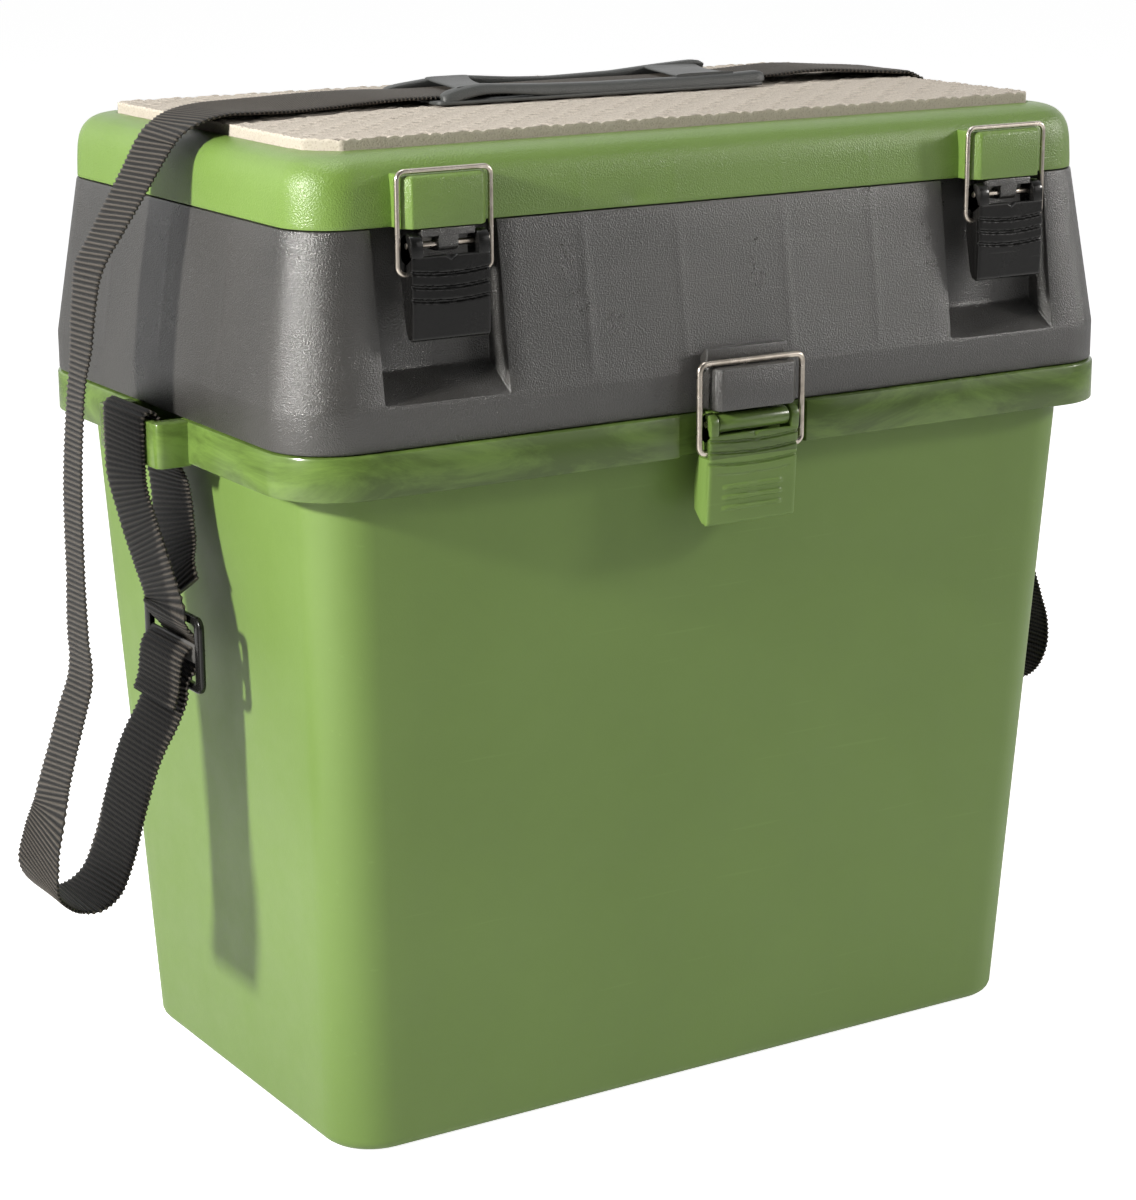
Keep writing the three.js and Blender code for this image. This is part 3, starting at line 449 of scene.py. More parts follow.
def recess_depth(z):
    """Depth of the latch recesses: a shelf slopes back from the band's top, then a steep back wall."""
    shelf = 121.3 - (z - 306.3) / 11.0 * 15.8
    back = 105.5 - (z - RECESS_FOOT) / 54.55 * 1.5
    soft = 0.8
    blended = 0.5 * (shelf + back + math.sqrt((shelf - back) ** 2 + soft ** 2))
    return max(0.0, case_plan(z)[1] - blended)


outer_heights = [305.2, 306.0, 306.8, 307.6, 309, 311, 313, 315, 316, 316.8, 317.4, 318.2, 319.4,
                 322, 330, 345, 360, 369.8]
case_rows = [drawn_in(BAND, 1.1, CASE_LOW), drawn_in(BAND, 0.3, CASE_LOW + 0.3), drawn_in(BAND, 0, CASE_LOW + 1.1)]
case_rows += [drawn_in(case_plan(z), 0, z, front=recess_depth(z)) for z in outer_heights]
case_rows += [
    drawn_in(case_plan(370.6), 0.2, 370.6, front=recess_depth(370.6)),
    drawn_in(MOUTH, 0.9, MOUTH_Z, front=recess_depth(MOUTH_Z)),
    drawn_in(MOUTH, CASE_WALL - 0.6, MOUTH_Z, front=recess_depth(MOUTH_Z), wider=CASE_WALL),
]
inner_heights = [370.3, 350, 330, 320, 316.4, 315.4, 314.4, 313.8, 312, 308, 304, 303, 300]
case_rows += [drawn_in(case_plan(z), CASE_WALL, z, front=recess_depth(z + CASE_WALL), wider=CASE_WALL)
              for z in inner_heights]
case_rows += [drawn_in(BAND, CASE_WALL, TRAY_FLOOR + 1), drawn_in(BAND, CASE_WALL + 1, TRAY_FLOOR)]
flutes = [plain(*(at + x for x in (-4.5, -2.5, -1.2, 0, 1.2, 2.5, 4.5))) for at in (-68, -25, 25, 68)]
side_flutes = [plain(*(at + x for x in (-3, -1.2, 0, 1.2, 3))) for at in (-52, 0, 52)]
case_columns = perimeter(
    front=np.vstack([step_in(-RECESS_AT - RECESS_HALF, 1), plain(-150, -131.5, -113, share=1),
                     step_in(-RECESS_AT + RECESS_HALF, -1), plain(-96, -85), *flutes, plain(85, 96),
                     step_in(RECESS_AT - RECESS_HALF, 1), plain(113, 131.5, 150, share=1),
                     step_in(RECESS_AT + RECESS_HALF, -1)]),
    back=plain(-140, -100, -50, 0, 50, 100, 140),
    side=np.vstack([plain(-75), *side_flutes, plain(75)]),
)
case_grid = walls(case_columns, case_rows, 1.0)


def ribbed(grid, lines, outward, low, high, lift, width):
    """Raises soft upright ribs on a wall: each adds lift times a bell curve of the distance to its
    line, faded in between the heights low and high. lines lie along x, or along y for an end wall."""
    along, across = (0, 1) if outward == "y" else (1, 0)
    fade = np.clip((grid[..., 2] - low) / 5, 0, 1) * np.clip((high - grid[..., 2]) / 5, 0, 1)
    outer = np.abs(grid[..., across]) > (case_wall_at(grid[..., 2], across) - 1.0)
    bells = sum(np.exp(-((grid[..., along] - line) / width) ** 2) for line in lines)
    grid[..., across] += np.sign(grid[..., across]) * lift * bells * fade * outer


def case_wall_at(z, across):
    """Distance of the case's outer wall from the middle at heights z, in x (0) or y (1)."""
    t = np.clip((z - BAND_TOP) / (MOUTH_Z - BAND_TOP), 0, 1)
    return BAND[across] + t * (MOUTH[across] - BAND[across])


ribbed(case_grid, (-68, -25, 25, 68), "y", 307, 369, 0.25, 2.2)
ribbed(case_grid, (-52, 0, 52), "x", 307, 369, 0.22, 2.2)
case = piece_of("tray_case", [closed_skin(case_grid)], case_black, "case")
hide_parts("middle_case")

CATCH_HALF = 19.0
box_front = soft_outline([(-CATCH_HALF, -119), (-CATCH_HALF, -130.6), (2.2 - CATCH_HALF, -132.7),
                          (CATCH_HALF - 2.2, -132.7), (CATCH_HALF, -130.6), (CATCH_HALF, -119)], 0.5, 3)
back_plate = soft_outline([(-119.6, 306), (-124.8, 306), (-125.0, 315.0), (-124.4, 315.4),
                           (-122.9, 315.4), (-119.0, 311)], 0.3, 3)
case_extras = [
    pushed(box_front, 291.5, 308.5, "z", 1.3), pushed(back_plate, -CATCH_HALF, CATCH_HALF, "x", 0.6),
    *knuckles(CASE_HINGE, [(119, 291), (128.6, 290.6), (131.2, 294.2), (129, 295), (119, 298)], False),
    *knuckles(LID_HINGE, [(109.2, 353), (113, 353), (122.3, 369.2), (117.5, 370.9), (109.2, 370.4)], True),
]
UPPER_PIN = (-119.5, 365.0)
DIVIDER_AT, STEM_HALF, BAR_HALF = 60, 4.2, 11.2
stem_nose = round_nose(UPPER_PIN, 2.6, [(-103.4, 362.4), (-103.4, 369), (-118, 370.8)])[8:]
stem = np.vstack([[(-122.1, 370.8)], stem_nose])
top_bar = soft_outline([(-122.2, 368.1), (-119.2, 368.1), (-119.2, 370.9), (-122.2, 370.9)], 0.4)
slot_face = np.array([(118.5, 293.1), (112.9, 293.1), (112.9, 306), (106.6, 350), (112.2, 350), (118.5, 306)])
for side in (-1, 1):
    middle = side * RECESS_AT
    case_extras.append(pushed(stem, middle - STEM_HALF, middle + STEM_HALF, "x", 0.3))
    case_extras.append(pushed(top_bar, middle - BAR_HALF, middle + BAR_HALF))
    for rib in (-2.5, 2.5):
        for sign in (-1, 1):
            at = side * DIVIDER_AT + rib
            case_extras.append(pushed(slot_face * (sign, 1), at - 1, at + 1, "x", 0.3))
piece_of("case_catch_and_knuckles", case_extras, case_black, "case")
sheet = [(-117.4, 293.9), (117.4, 293.9), (117.4, 306), (110.6, 350), (-110.6, 350), (-117.4, 306)]
for node, middle in (("divider_left", -DIVIDER_AT), ("divider_right", DIVIDER_AT)):
    divider = piece_of("tray_" + node, [pushed(soft_outline(sheet, 2.0), middle - 1, middle + 1, "x", 0.3)],
                       case_black, "case")
    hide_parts(node)

# ---------------------------------------------------------------------------------------------
# The lid: a shallow grained green cover with broad rounded edges. Its top is let down for the seat
# pad, two catch boxes stand on its front, and its knuckles close the rear hinges.
lid_green = moulded_plastic("lid_green", (0.142, 0.240, 0.042), (0.158, 0.262, 0.052), 0.35, 0.6, 0.7, 0.12, 0.6)
LID_LOW, LID_TOP = 371.15, 397.2
PAD_X, PAD_Y, PAD_CUT, PAD_CORNER, PAD_LOW = 168.6, 90.0, 11.0, 3.0, 395.4
levels = np.array([[184.9, 111.1, 21.7, 371.15], [184.75, 110.95, 21.6, 377], [184.4, 110.6, 21.5, 384],
                   [183.6, 109.8, 21, 388.6], [182.0, 108.2, 20, 392], [179.4, 105.6, 18, 394.8],
                   [176.2, 102.4, 15.5, 396.3], [173.2, 99.4, 13.5, 397.0], [171.0, 97.2, 12.3, 397.2]])
heights = np.linspace(0, 8, 29)
outside = np.stack([np.interp(heights, np.arange(9), levels[:, k]) for k in range(4)], -1)
outside[1:-1] = (outside[:-2] + 2 * outside[1:-1] + outside[2:]) / 4
inside = [(170, 96, 10, 393.2), (174, 100, 13, 393.0), (178.5, 104.6, 17, 391.0), (181, 107.2, 18.5, 386),
          (181.9, 108.1, 18.7, LID_LOW + 0.5), (182.4, 108.6, 19.2, LID_LOW)]
lip = [(184.4, 110.6, 21.2, LID_LOW), (184.75, 110.95, 21.5, LID_LOW + 0.15), (184.88, 111.08, 21.7, LID_LOW + 0.5)]
lid_rows = [drawn_in(tuple(row[:3]), 0, row[3]) for row in (*inside, *lip, *outside[1:])]
octagon = (PAD_X + 0.5, PAD_Y + 0.5, PAD_CORNER)
lid_rows += [drawn_in(octagon, -0.5, LID_TOP, cut=1), drawn_in(octagon, -0.1, LID_TOP - 0.2, cut=1),
             drawn_in(octagon, 0, LID_TOP - 0.6, cut=1), drawn_in(octagon, 0, PAD_LOW - 0.3, cut=1),
             drawn_in(octagon, 4, PAD_LOW - 0.3, cut=1)]
lid_columns = perimeter(
    front=np.vstack([plain(-145, -120, -100, -80), flutes[0], plain(-60, *range(-54, -30, 2)), flutes[1],
                     plain(0), flutes[2], plain(45), flutes[3], plain(80, 100, 120, 145)]),
    back=plain(-140, -100, -50, 0, 50, 100, 140),
    side=plain(-70, -35, 0, 35, 70),
)
lid_grid = walls(lid_columns, lid_rows)
over = PAD_CUT - (lid_grid[-5:, :, 0] + PAD_X + 0.5) - (lid_grid[-5:, :, 1] + PAD_Y + 0.5)
lid_grid[-5:, :, :2] += np.clip(over, 0, None)[..., None] / 2
on_front = (lid_grid[..., 1] < -109.5) * np.clip((LID_TOP - 8 - lid_grid[..., 2]) / 8, 0, 1)
for line in (-68, -25, 25, 68):
    lid_grid[..., 1] -= 0.14 * np.exp(-((lid_grid[..., 0] - line) / 1.8) ** 2) * on_front
dent = np.exp(-((lid_grid[..., 0] + 43.5) / 5.5) ** 2 - ((lid_grid[..., 2] - 374.5) / 2.6) ** 2)
lid_grid[..., 1] += 0.8 * dent * (lid_grid[..., 1] < -109.5)
lid = piece_of("lid_cover", [closed_skin(lid_grid)], lid_green, "lid")
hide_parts("lid")


def catch_box(middle):
    """A catch box: a plan with splayed sides pushed up the lid's front, its front drawn back over the
    last 1.6 mm of height so that the wire slides on."""
    plan = soft_outline([(-17.6, -108.4), (-17.6, -118.8), (-14.8, -122.0), (14.8, -122.0), (17.6, -118.8),
                         (17.6, -108.4)], 0.6, 4)
    rises = np.array([0, 0.15, 0.5, 17.2, 18.2, 18.8, 19.2, 19.35])
    backs = np.array([0.5, 0.15, 0, 0, 0.25, 0.8, 1.6, 2.4])
    grid = np.zeros((8, len(plan), 3))
    grid[..., 0] = middle + plan[:, 0] * (1 - backs[:, None] * 0.012)
    grid[..., 1] = plan[:, 1] + backs[:, None] * (plan[:, 1] < -112)
    grid[..., 2] = LID_LOW + rises[:, None]
    return closed_skin(grid)


lid_arm = [(109.5, 371.8), (117.5, 371.1), (119.6, 375.2), (117.5, 375.9), (109.5, 380)]
lid_extras = [catch_box(-RECESS_AT), catch_box(RECESS_AT), *knuckles(LID_HINGE, lid_arm, False)]
piece_of("lid_catches_and_knuckles", lid_extras, lid_green, "lid")

# ---------------------------------------------------------------------------------------------
# The seat pad: a slab of beige closed-cell foam glued into the lid. Its top is embossed with fine
# waves and with slanting rows of pinpricks, and its cut sides show the pores.
PAD_TOP, CELL = 401.9, 5.85
WAVE_DEEP, PRICK_DEEP, RIM_HIGH, NOTCH_DEEP = 0.35, 1.0, 0.4, 0.9
foam = bpy.data.materials.new("seat_foam")
add = node_tree(foam)
place = add("TexCoord").outputs["Object"]
marks = add("Attribute", attribute_name="weave").outputs["Vector"]
pricks, wave, sides = add("SeparateXYZ", {0: marks}).outputs[:3]
clouds = add("TexNoise", {"Vector": place, "Scale": 22.0, "Detail": 5.0, "Roughness": 0.7})
tint = mixed(add, clouds, (0.61, 0.55, 0.475), (0.74, 0.68, 0.60))
# Painted shade: the colour is darkened towards dark brown in the troughs of the embossed waves.
shade_in_troughs = mixed(add, maths(add, "MULTIPLY", wave, 0.3), tint, (0.25, 0.20, 0.16))
sawn = mixed(add, maths(add, "MULTIPLY", sides, 0.45), shade_in_troughs, (0.29, 0.25, 0.20))
pores = add("TexVoronoi", {"Vector": place, "Scale": 1100.0}).outputs["Distance"]
pored = mixed(add, ramp(add, pores, 0.1, 0.45, 0.5, 0.0), sawn, (0.26, 0.21, 0.16))
# Painted shade: the colour turns near black inside the pinpricks.
shade_in_pricks = mixed(add, pricks, pored, (0.05, 0.04, 0.032))
grit = add("TexNoise", {"Vector": place, "Scale": 900.0, "Detail": 3.0})
coated(add, shade_in_pricks, 0.85, (maths(add, "ADD", pores, grit), 0.35, 0.0003), {"Specular IOR Level": 0.25})


def embossed_pad():
    """The pad's points, faces and marks: the pinprick and the wave, where the foam paints shade, and the
    cut side. Height is the top less a fine wave along y that wanders with x, less a 1 mm pinprick with
    a low rim at each point of a lattice (rows CELL apart, each moved on by CELL, three CELLs between
    pricks), less notches in its edge. The grid is 1 mm fine; the corner at the front left is cut, and the
    rim goes down to the underside in rings."""
    ny, nx = 181, 307
    v, u = np.meshgrid(np.linspace(-1, 1, ny), np.linspace(0, 1, nx), indexing="ij")
    y = v * PAD_Y
    front, back = y + PAD_Y, PAD_Y - y
    corner = np.clip(PAD_CORNER - back, 0, None)
    left = -PAD_X + np.clip(PAD_CUT - front, 0, None) + corner
    right = PAD_X - np.clip(PAD_CORNER - front, 0, None) - corner
    x = left + (right - left) * u
    row = np.round((y + PAD_Y - 1.5) / CELL)
    off_y = y + PAD_Y - 1.5 - row * CELL
    off_x = (x - row * CELL + 1.5 * CELL) % (3 * CELL) - 1.5 * CELL
    wander = 0.7 * np.sin(2 * math.pi * x / (3 * CELL) + 2 * math.pi * y / (3 * CELL))
    wave = 0.5 + 0.5 * np.cos(2 * math.pi * (y + wander) / (CELL / 2))
    reach = np.sqrt((off_x / 1.7) ** 2 + (off_y / 0.85) ** 2)
    prick = np.exp(-reach ** 2)
    rim_of = np.exp(-((reach - 2.1) / 0.8) ** 2)
    along = (x + 4) % (3 * CELL) - 1.5 * CELL
    pair = np.exp(-(along - 2.6) ** 2) + np.exp(-(along + 2.6) ** 2)
    notch = np.exp(-(np.minimum(front, back) / 1.6) ** 2) * pair
    z = PAD_TOP - RIM_HIGH - WAVE_DEEP * wave - PRICK_DEEP * prick + RIM_HIGH * rim_of - NOTCH_DEEP * notch
    top = np.stack([x, y, z], -1)
    index = np.arange(ny * nx).reshape(ny, nx)
    quads = np.stack([index[:-1, :-1], index[:-1, 1:], index[1:, 1:], index[1:, :-1]], -1).reshape(-1, 4)
    rim = np.concatenate([index[0, :-1], index[:-1, -1], index[-1, :0:-1], index[:0:-1, 0]])
    edge = top.reshape(-1, 3)[rim]
    rings = [np.column_stack([edge[:, :2], np.full(len(rim), h)]) for h in (399.5, 397.4, PAD_LOW)]
    rings[0][:, 2] = edge[:, 2] - 1.2
    count, base = len(rim), ny * nx
    levels = [rim] + [base + k * count + np.arange(count) for k in range(3)]
    sides = np.vstack([np.stack([lo, np.roll(lo, -1), np.roll(hi, -1), hi], -1)
                       for hi, lo in zip(levels[:-1], levels[1:])])
    low = base + 3 * count
    under = np.stack([np.full(count, low), np.roll(levels[3], -1), levels[3]], -1)
    points = np.vstack([top.reshape(-1, 3), *rings, [[0, 0, PAD_LOW]]])
    # Marks that the foam reads: x where it paints shade in the pinpricks, y the wave's depth for the shade it
    # paints in the troughs, z 1 on the cut sides.
    marks = np.zeros((len(points), 3))
    marks[:ny * nx, 0] = (np.clip(1.5 * prick, 0, 1) * (np.abs(u - 0.5) < 0.497) * (np.abs(v) < 0.985)).ravel()
    marks[:ny * nx, 1] = wave.ravel()
    marks[ny * nx:, 2] = 1
    return (points, [quads, sides, under]), marks


pad_part, pad_marks = embossed_pad()
seat = piece_of("seat_pad_foam", [pad_part], foam, "lid", sharp=50, weave=pad_marks)
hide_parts("seat_pad")

# ---------------------------------------------------------------------------------------------
# The toggle latches. A lever is a moulded channel with two ears round a steel pin and pressed-in
# finger grooves; its wire bail hooks over a catch box. Two black ones hold the lid, a green one the case.
lever_black = moulded_plastic(
    "lever_black", (0.005, 0.005, 0.005), (0.010, 0.0095, 0.009), 0.24, 2.0, 0.12, 0.5, 0.35)
wire = bpy.data.materials.new("plated_wire")
add = node_tree(wire)
place = add("TexCoord").outputs["Object"]
drawn = add("Mapping", {"Vector": place, "Scale": (2500.0, 2500.0, 120.0)})
lines = add("TexNoise", {"Vector": drawn, "Scale": 1.0, "Detail": 2.0})
spots = add("TexNoise", {"Vector": place, "Scale": 260.0, "Detail": 4.0})
tint = mixed(add, ramp(add, spots, 0.4, 0.7), (0.62, 0.56, 0.49), (0.42, 0.37, 0.31))
coated(add, tint, ramp(add, spots, 0.0, 1.0, 0.18, 0.42), (lines, 0.15, 0.00005), {"Metallic": 1.0})


def lever_plate(middle, half, front, low, high, dip, grooves, bars, line):
    """The lever's front plate as a closed skin, rows from low to high. Its face follows the points of
    front; each groove takes away 0.9 mm by a bell curve about an arc that sags in the middle, each
    bar adds a rounded 0.7 mm, and line is a fine arc 0.3 mm deep. The top edge dips in a V."""
    rows = int((high - low) / 0.3)
    t = np.linspace(0, 1, rows)[:, None]
    x = np.concatenate([[-1, -0.985], np.linspace(-0.96, 0.96, 41), [0.985, 1]])[None] * half
    top = high - dip * np.clip(1 - np.abs(x) / 2.4, 0, 1)
    z = low + t * (top - low)
    face = np.interp(z, *np.array(front, float)[::-1].T[::-1])
    sag = (1 - (x / half) ** 2) * 1.3 - 0.5
    press = sum(np.exp(-((z + sag - g) / 0.62) ** 4) for g in grooves) * 0.9
    press = press + (0.3 * np.exp(-((z + sag - line) / 0.3) ** 2) * (np.abs(x) < half * 0.86) if line else 0)
    across = np.clip((14.2 - np.abs(x)) / 0.9, 0, 1)
    press = press - sum(np.exp(-((z - b) / 0.95) ** 6) for b in bars) * across * 0.7
    edge = np.where(np.abs(x) > half * 0.97, 0.55 * np.clip((np.abs(x) / half - 0.955) / 0.045, 0, 1) ** 2, 0)
    foot = 1.3 * np.clip(1 - (z - low) / 1.3, 0, 1) ** 2
    crown = 0.5 * np.clip(1 - (top - z) / 0.5, 0, 1) ** 2
    y = face + press + edge + foot + crown
    back = np.broadcast_to(face + 1.7, y.shape)
    wide = np.broadcast_to(middle + x, y.shape)
    grid = np.concatenate([np.stack([wide, y, z], -1), np.stack([wide, back, z], -1)[:, ::-1]], 1)
    return closed_skin(grid)


def lever_parts(middle, half, ear_in, pin, ear, front, foot, back, high, **press):
    """All parts of a lever: plate, two cheeks behind it, a foot, and two ears round the pin."""
    low = foot[0][1]
    plate = lever_plate(middle, half, front, low, high, 1.5, **press)
    face = lambda z: float(np.interp(z, [p[1] for p in front[::-1]], [p[0] for p in front[::-1]]))
    turn = np.linspace(0, math.pi, 18)
    crown = [(pin[0] + ear * math.cos(a), pin[1] + ear * math.sin(a)) for a in turn]
    cheek = crown[:9] + [(face(high) + 1.2, high + 1), (face(front[1][1]) + 1.2, front[1][1]),
                         (face(low) + 1.4, low + 1.4), (foot[1][0], foot[1][1] + 0.2), *back]
    ear_line = crown + [(face(high - 0.2), high - 0.2), (face(high - 1.2) + 0.7, high - 1.4), (pin[0], high - 4),
                        (pin[0] + ear - 0.3, high - 2)]
    under = [(face(low) + 0.9, low + 1.5), (face(low) + 1.6, low), foot[1], (back[0][0] - 0.2, back[0][1]),
             (face(low) + 2.4, low + 2.6)]
    parts = [plate, pushed(soft_outline(under, 0.5), middle - half + 0.5, middle + half - 0.5)]
    for side in (-1, 1):
        a, b = sorted((middle + side * (half - 2.3), middle + side * half))
        parts.append(pushed(soft_outline(cheek, 0.3, 2), a, b, "x", 0.35))
        a, b = sorted((middle + side * ear_in, middle + side * half))
        parts.append(pushed(soft_outline(ear_line, 0.3, 2), a, b, "x", 0.5))
    return parts


def bent_wire(stops, radius, y, corner=3.0):
    """A bail: a wire in the plane at y through stops given in x and z, its bends quarter arcs. Each
    ring is a circle in the plane of y and of the tangent crossed with y."""
    stops = np.array(stops, float)
    path = [stops[:1]]
    for before, knee, after in zip(stops[:-2], stops[1:-1], stops[2:]):
        a = knee + (before - knee) * min(1, corner / np.linalg.norm(before - knee))
        b = knee + (after - knee) * min(1, corner / np.linalg.norm(after - knee))
        turn = np.linspace(0, math.pi / 2, 9)[:, None]
        path.append(a + (knee - a) * np.sin(turn) + (b - knee) * (1 - np.cos(turn)))
    path = np.vstack(path + [stops[-1:]])
    keep = np.concatenate([[True], np.linalg.norm(np.diff(path, axis=0), axis=1) > 1e-4])
    path = path[keep]
    ahead = np.gradient(path, axis=0)
    ahead /= np.linalg.norm(ahead, axis=1, keepdims=True)
    angle = np.linspace(0, 2 * math.pi, 14, endpoint=False)
    sideways = np.stack([ahead[:, 1], -ahead[:, 0]], -1)
    grid = np.zeros((len(path), 14, 3))
    grid[..., 0] = path[:, :1] + radius * np.cos(angle) * sideways[:, :1]
    grid[..., 1] = y + radius * np.sin(angle)
    grid[..., 2] = path[:, 1:] + radius * np.cos(angle) * sideways[:, 1:]
    return closed_skin(grid)


UPPER_HALF, LOWER_HALF, UPPER_WIRE, LOWER_WIRE = 16.5, 21.0, 1.0, 1.25
UPPER_PIN_ROUND, LOWER_PIN_ROUND, HINGE_ROD_ROUND = 1.25, 1.4, 1.9
for name, middle in (("upper_left", -RECESS_AT), ("upper_right", RECESS_AT)):
    parts = lever_parts(
        middle, UPPER_HALF, 11.6, UPPER_PIN, 4.6, front=[(-124.1, 364.6), (-124.5, 346), (-124, 331.4)],
        foot=[(-122.4, 330.2), (-120.4, 330.4)], back=[(-118.6, 333.6), (-116, 346.5), (-115.6, 354.5)], high=361.3,
        grooves=(355.2, 350.2, 345.2), bars=(), line=None)
    lever = piece_of(name + "_toggle", parts, lever_black, name + "_lever")
    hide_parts(name + "_lever")
    pin_part = barrel(UPPER_PIN, UPPER_PIN_ROUND, middle - UPPER_HALF - 0.1, middle + UPPER_HALF + 0.1, 0.3, 20)
    rod = piece_of(name + "_pin", [pin_part], wire, "case")
    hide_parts(name + "_lever_pin")
    hoop = [(-14.8, 354.5), (-19.6, 354.5), (-19.6, 391.85), (19.6, 391.85), (19.6, 354.5), (14.8, 354.5)]
    bail_part = bent_wire([(middle + x, z) for x, z in hoop], UPPER_WIRE, -119.0)
    bail = piece_of(name + "_wire", [bail_part], wire, name + "_bail")
    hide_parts(name + "_bail")

parts = lever_parts(
    0, LOWER_HALF, 17.2, LOWER_PIN, 4.3, front=[(-131.3, 286), (-130, 269), (-128.6, 247)],
    foot=[(-127.8, 245.6), (-124.6, 246)], back=[(-119.2, 251.5), (-119.3, 264.5), (-122, 273)], high=282.2,
    grooves=(279.6, 275, 270.3), bars=(260.8, 256.6, 252.3), line=266.4)
lever = piece_of("lower_toggle", parts, green_satin, "lower_lever")
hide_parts("lower_lever")
pin_part = barrel(LOWER_PIN, LOWER_PIN_ROUND, -LOWER_HALF - 0.1, LOWER_HALF + 0.1, 0.3, 20)
rod = piece_of("lower_pin", [pin_part], wire, "tub")
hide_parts("lower_lever_pin")
hoop = [(-19.3, 274.8), (-24.3, 274.8), (-24.3, 310.1), (24.3, 310.1), (24.3, 274.8), (19.3, 274.8)]
bail = piece_of("lower_wire", [bent_wire(hoop, LOWER_WIRE, -127.6)], wire, "lower_bail")
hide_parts("lower_bail")
for side, middle in (("left", -KNUCKLE_AT), ("right", KNUCKLE_AT)):
    for which, centre, body in (("case", CASE_HINGE, "tub"), ("lid", LID_HINGE, "case")):
        rod_part = barrel(centre, HINGE_ROD_ROUND, middle - KNUCKLE_END - 0.4, middle + KNUCKLE_END + 0.4, 0.5, 20)
        rod = piece_of(which + "_hinge_rod_" + side, [rod_part], wire, body)
        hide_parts(which + "_hinge_pin_" + side)

# ---------------------------------------------------------------------------------------------
# The strap slides: three-bar frames moulded in glossy black, about the height of a thumb joint.
# The webbing goes over the outer bars and behind the middle one.
SLIDE_X, SLIDE_Y, SLIDE_Z = 198.5, -16.0, 199.0
FRAME_SQUARE, BAR_SQUARE = 0.62, 0.6


def squared(value, power):
    """A sine or cosine raised to a power with its sign kept, which turns a circle towards a square."""
    return np.sign(value) * np.abs(value) ** power


def slide_frame(side):
    """A frame as a ring closed both ways. Round the ring, a point lies between an inner and an outer
    rounded rectangle; round its section it follows a squared circle 3 mm thick."""
    def loop(half_y, half_z, r):
        around = perimeter(plain(-12, 0, 12), plain(-12, 0, 12), plain(-6, 0, 6), 8)
        return walls(around, [(half_y, half_z, r, 0, 0, 0, 0, 0, 0, 0)])[0][:, :2]
    outer, inner = loop(26, 15.5, 4.5), loop(20.6, 11.9, 1.8)
    angle = np.linspace(0, 2 * math.pi, 16, endpoint=False)
    s, n = squared(np.cos(angle), FRAME_SQUARE), squared(np.sin(angle), FRAME_SQUARE)
    flat = (outer + inner)[:, None] / 2 + s[None, :, None] * (outer - inner)[:, None] / 2
    x = side * SLIDE_X + np.broadcast_to(1.5 * n, flat.shape[:2])
    grid = np.stack([x, SLIDE_Y + flat[..., 0], SLIDE_Z + flat[..., 1]], -1)
    rows, cols = grid.shape[:2]
    i, j = np.meshgrid(np.arange(rows), np.arange(cols), indexing="ij")
    ni, nj = (i + 1) % rows, (j + 1) % cols
    quads = np.stack([i * cols + j, ni * cols + j, ni * cols + nj, i * cols + nj], -1).reshape(-1, 4)
    return grid.reshape(-1, 3), [quads]


def middle_bar(side):
    """The bar that the webbing goes behind: a flat, rounded section along y."""
    angle = np.linspace(0, 2 * math.pi, 18, endpoint=False)
    tall = 3.9 * squared(np.cos(angle), BAR_SQUARE)
    outline = np.stack([SLIDE_Z + tall, side * SLIDE_X + 1.1 * np.sin(angle)], -1)
    return pushed(outline, SLIDE_Y - 21.5, SLIDE_Y + 21.5, "y", 0.3)


# The middle bar is the same glossy black plastic as the frame; its colour is painted grey as a painted reflection
# of the lamps on its broad face.
middle_bar_painted_reflection = moulded_plastic("middle_bar_painted_reflection", (0.075, 0.073, 0.070), (0.095, 0.092, 0.088), 0.4, 1.0, 0.15, 0.4, 0.5)
for name, side in (("slide_left", -1), ("slide_right", 1)):
    slide = piece_of("strap_" + name, [slide_frame(side)], lever_black, "tub")
    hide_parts(name)
    piece_of(name + "_bar", [middle_bar(side)], middle_bar_painted_reflection, "tub")

# ---------------------------------------------------------------------------------------------
# The shoulder strap: one length of ribbed polypropylene webbing, 38 mm wide. It runs from one slide
# round the loop on the flange, hangs slack, climbs over the lid under the shoulder pad and goes down
# the other end in the same way. It is worked out as one ribbon and cut where bodies part.
WEB_WIDTH, WEB_THICK, RIB, YARN = 38.0, 1.5, 2.1, 1.25
LEFT_SLACK, RIGHT_SLACK = 14, 7


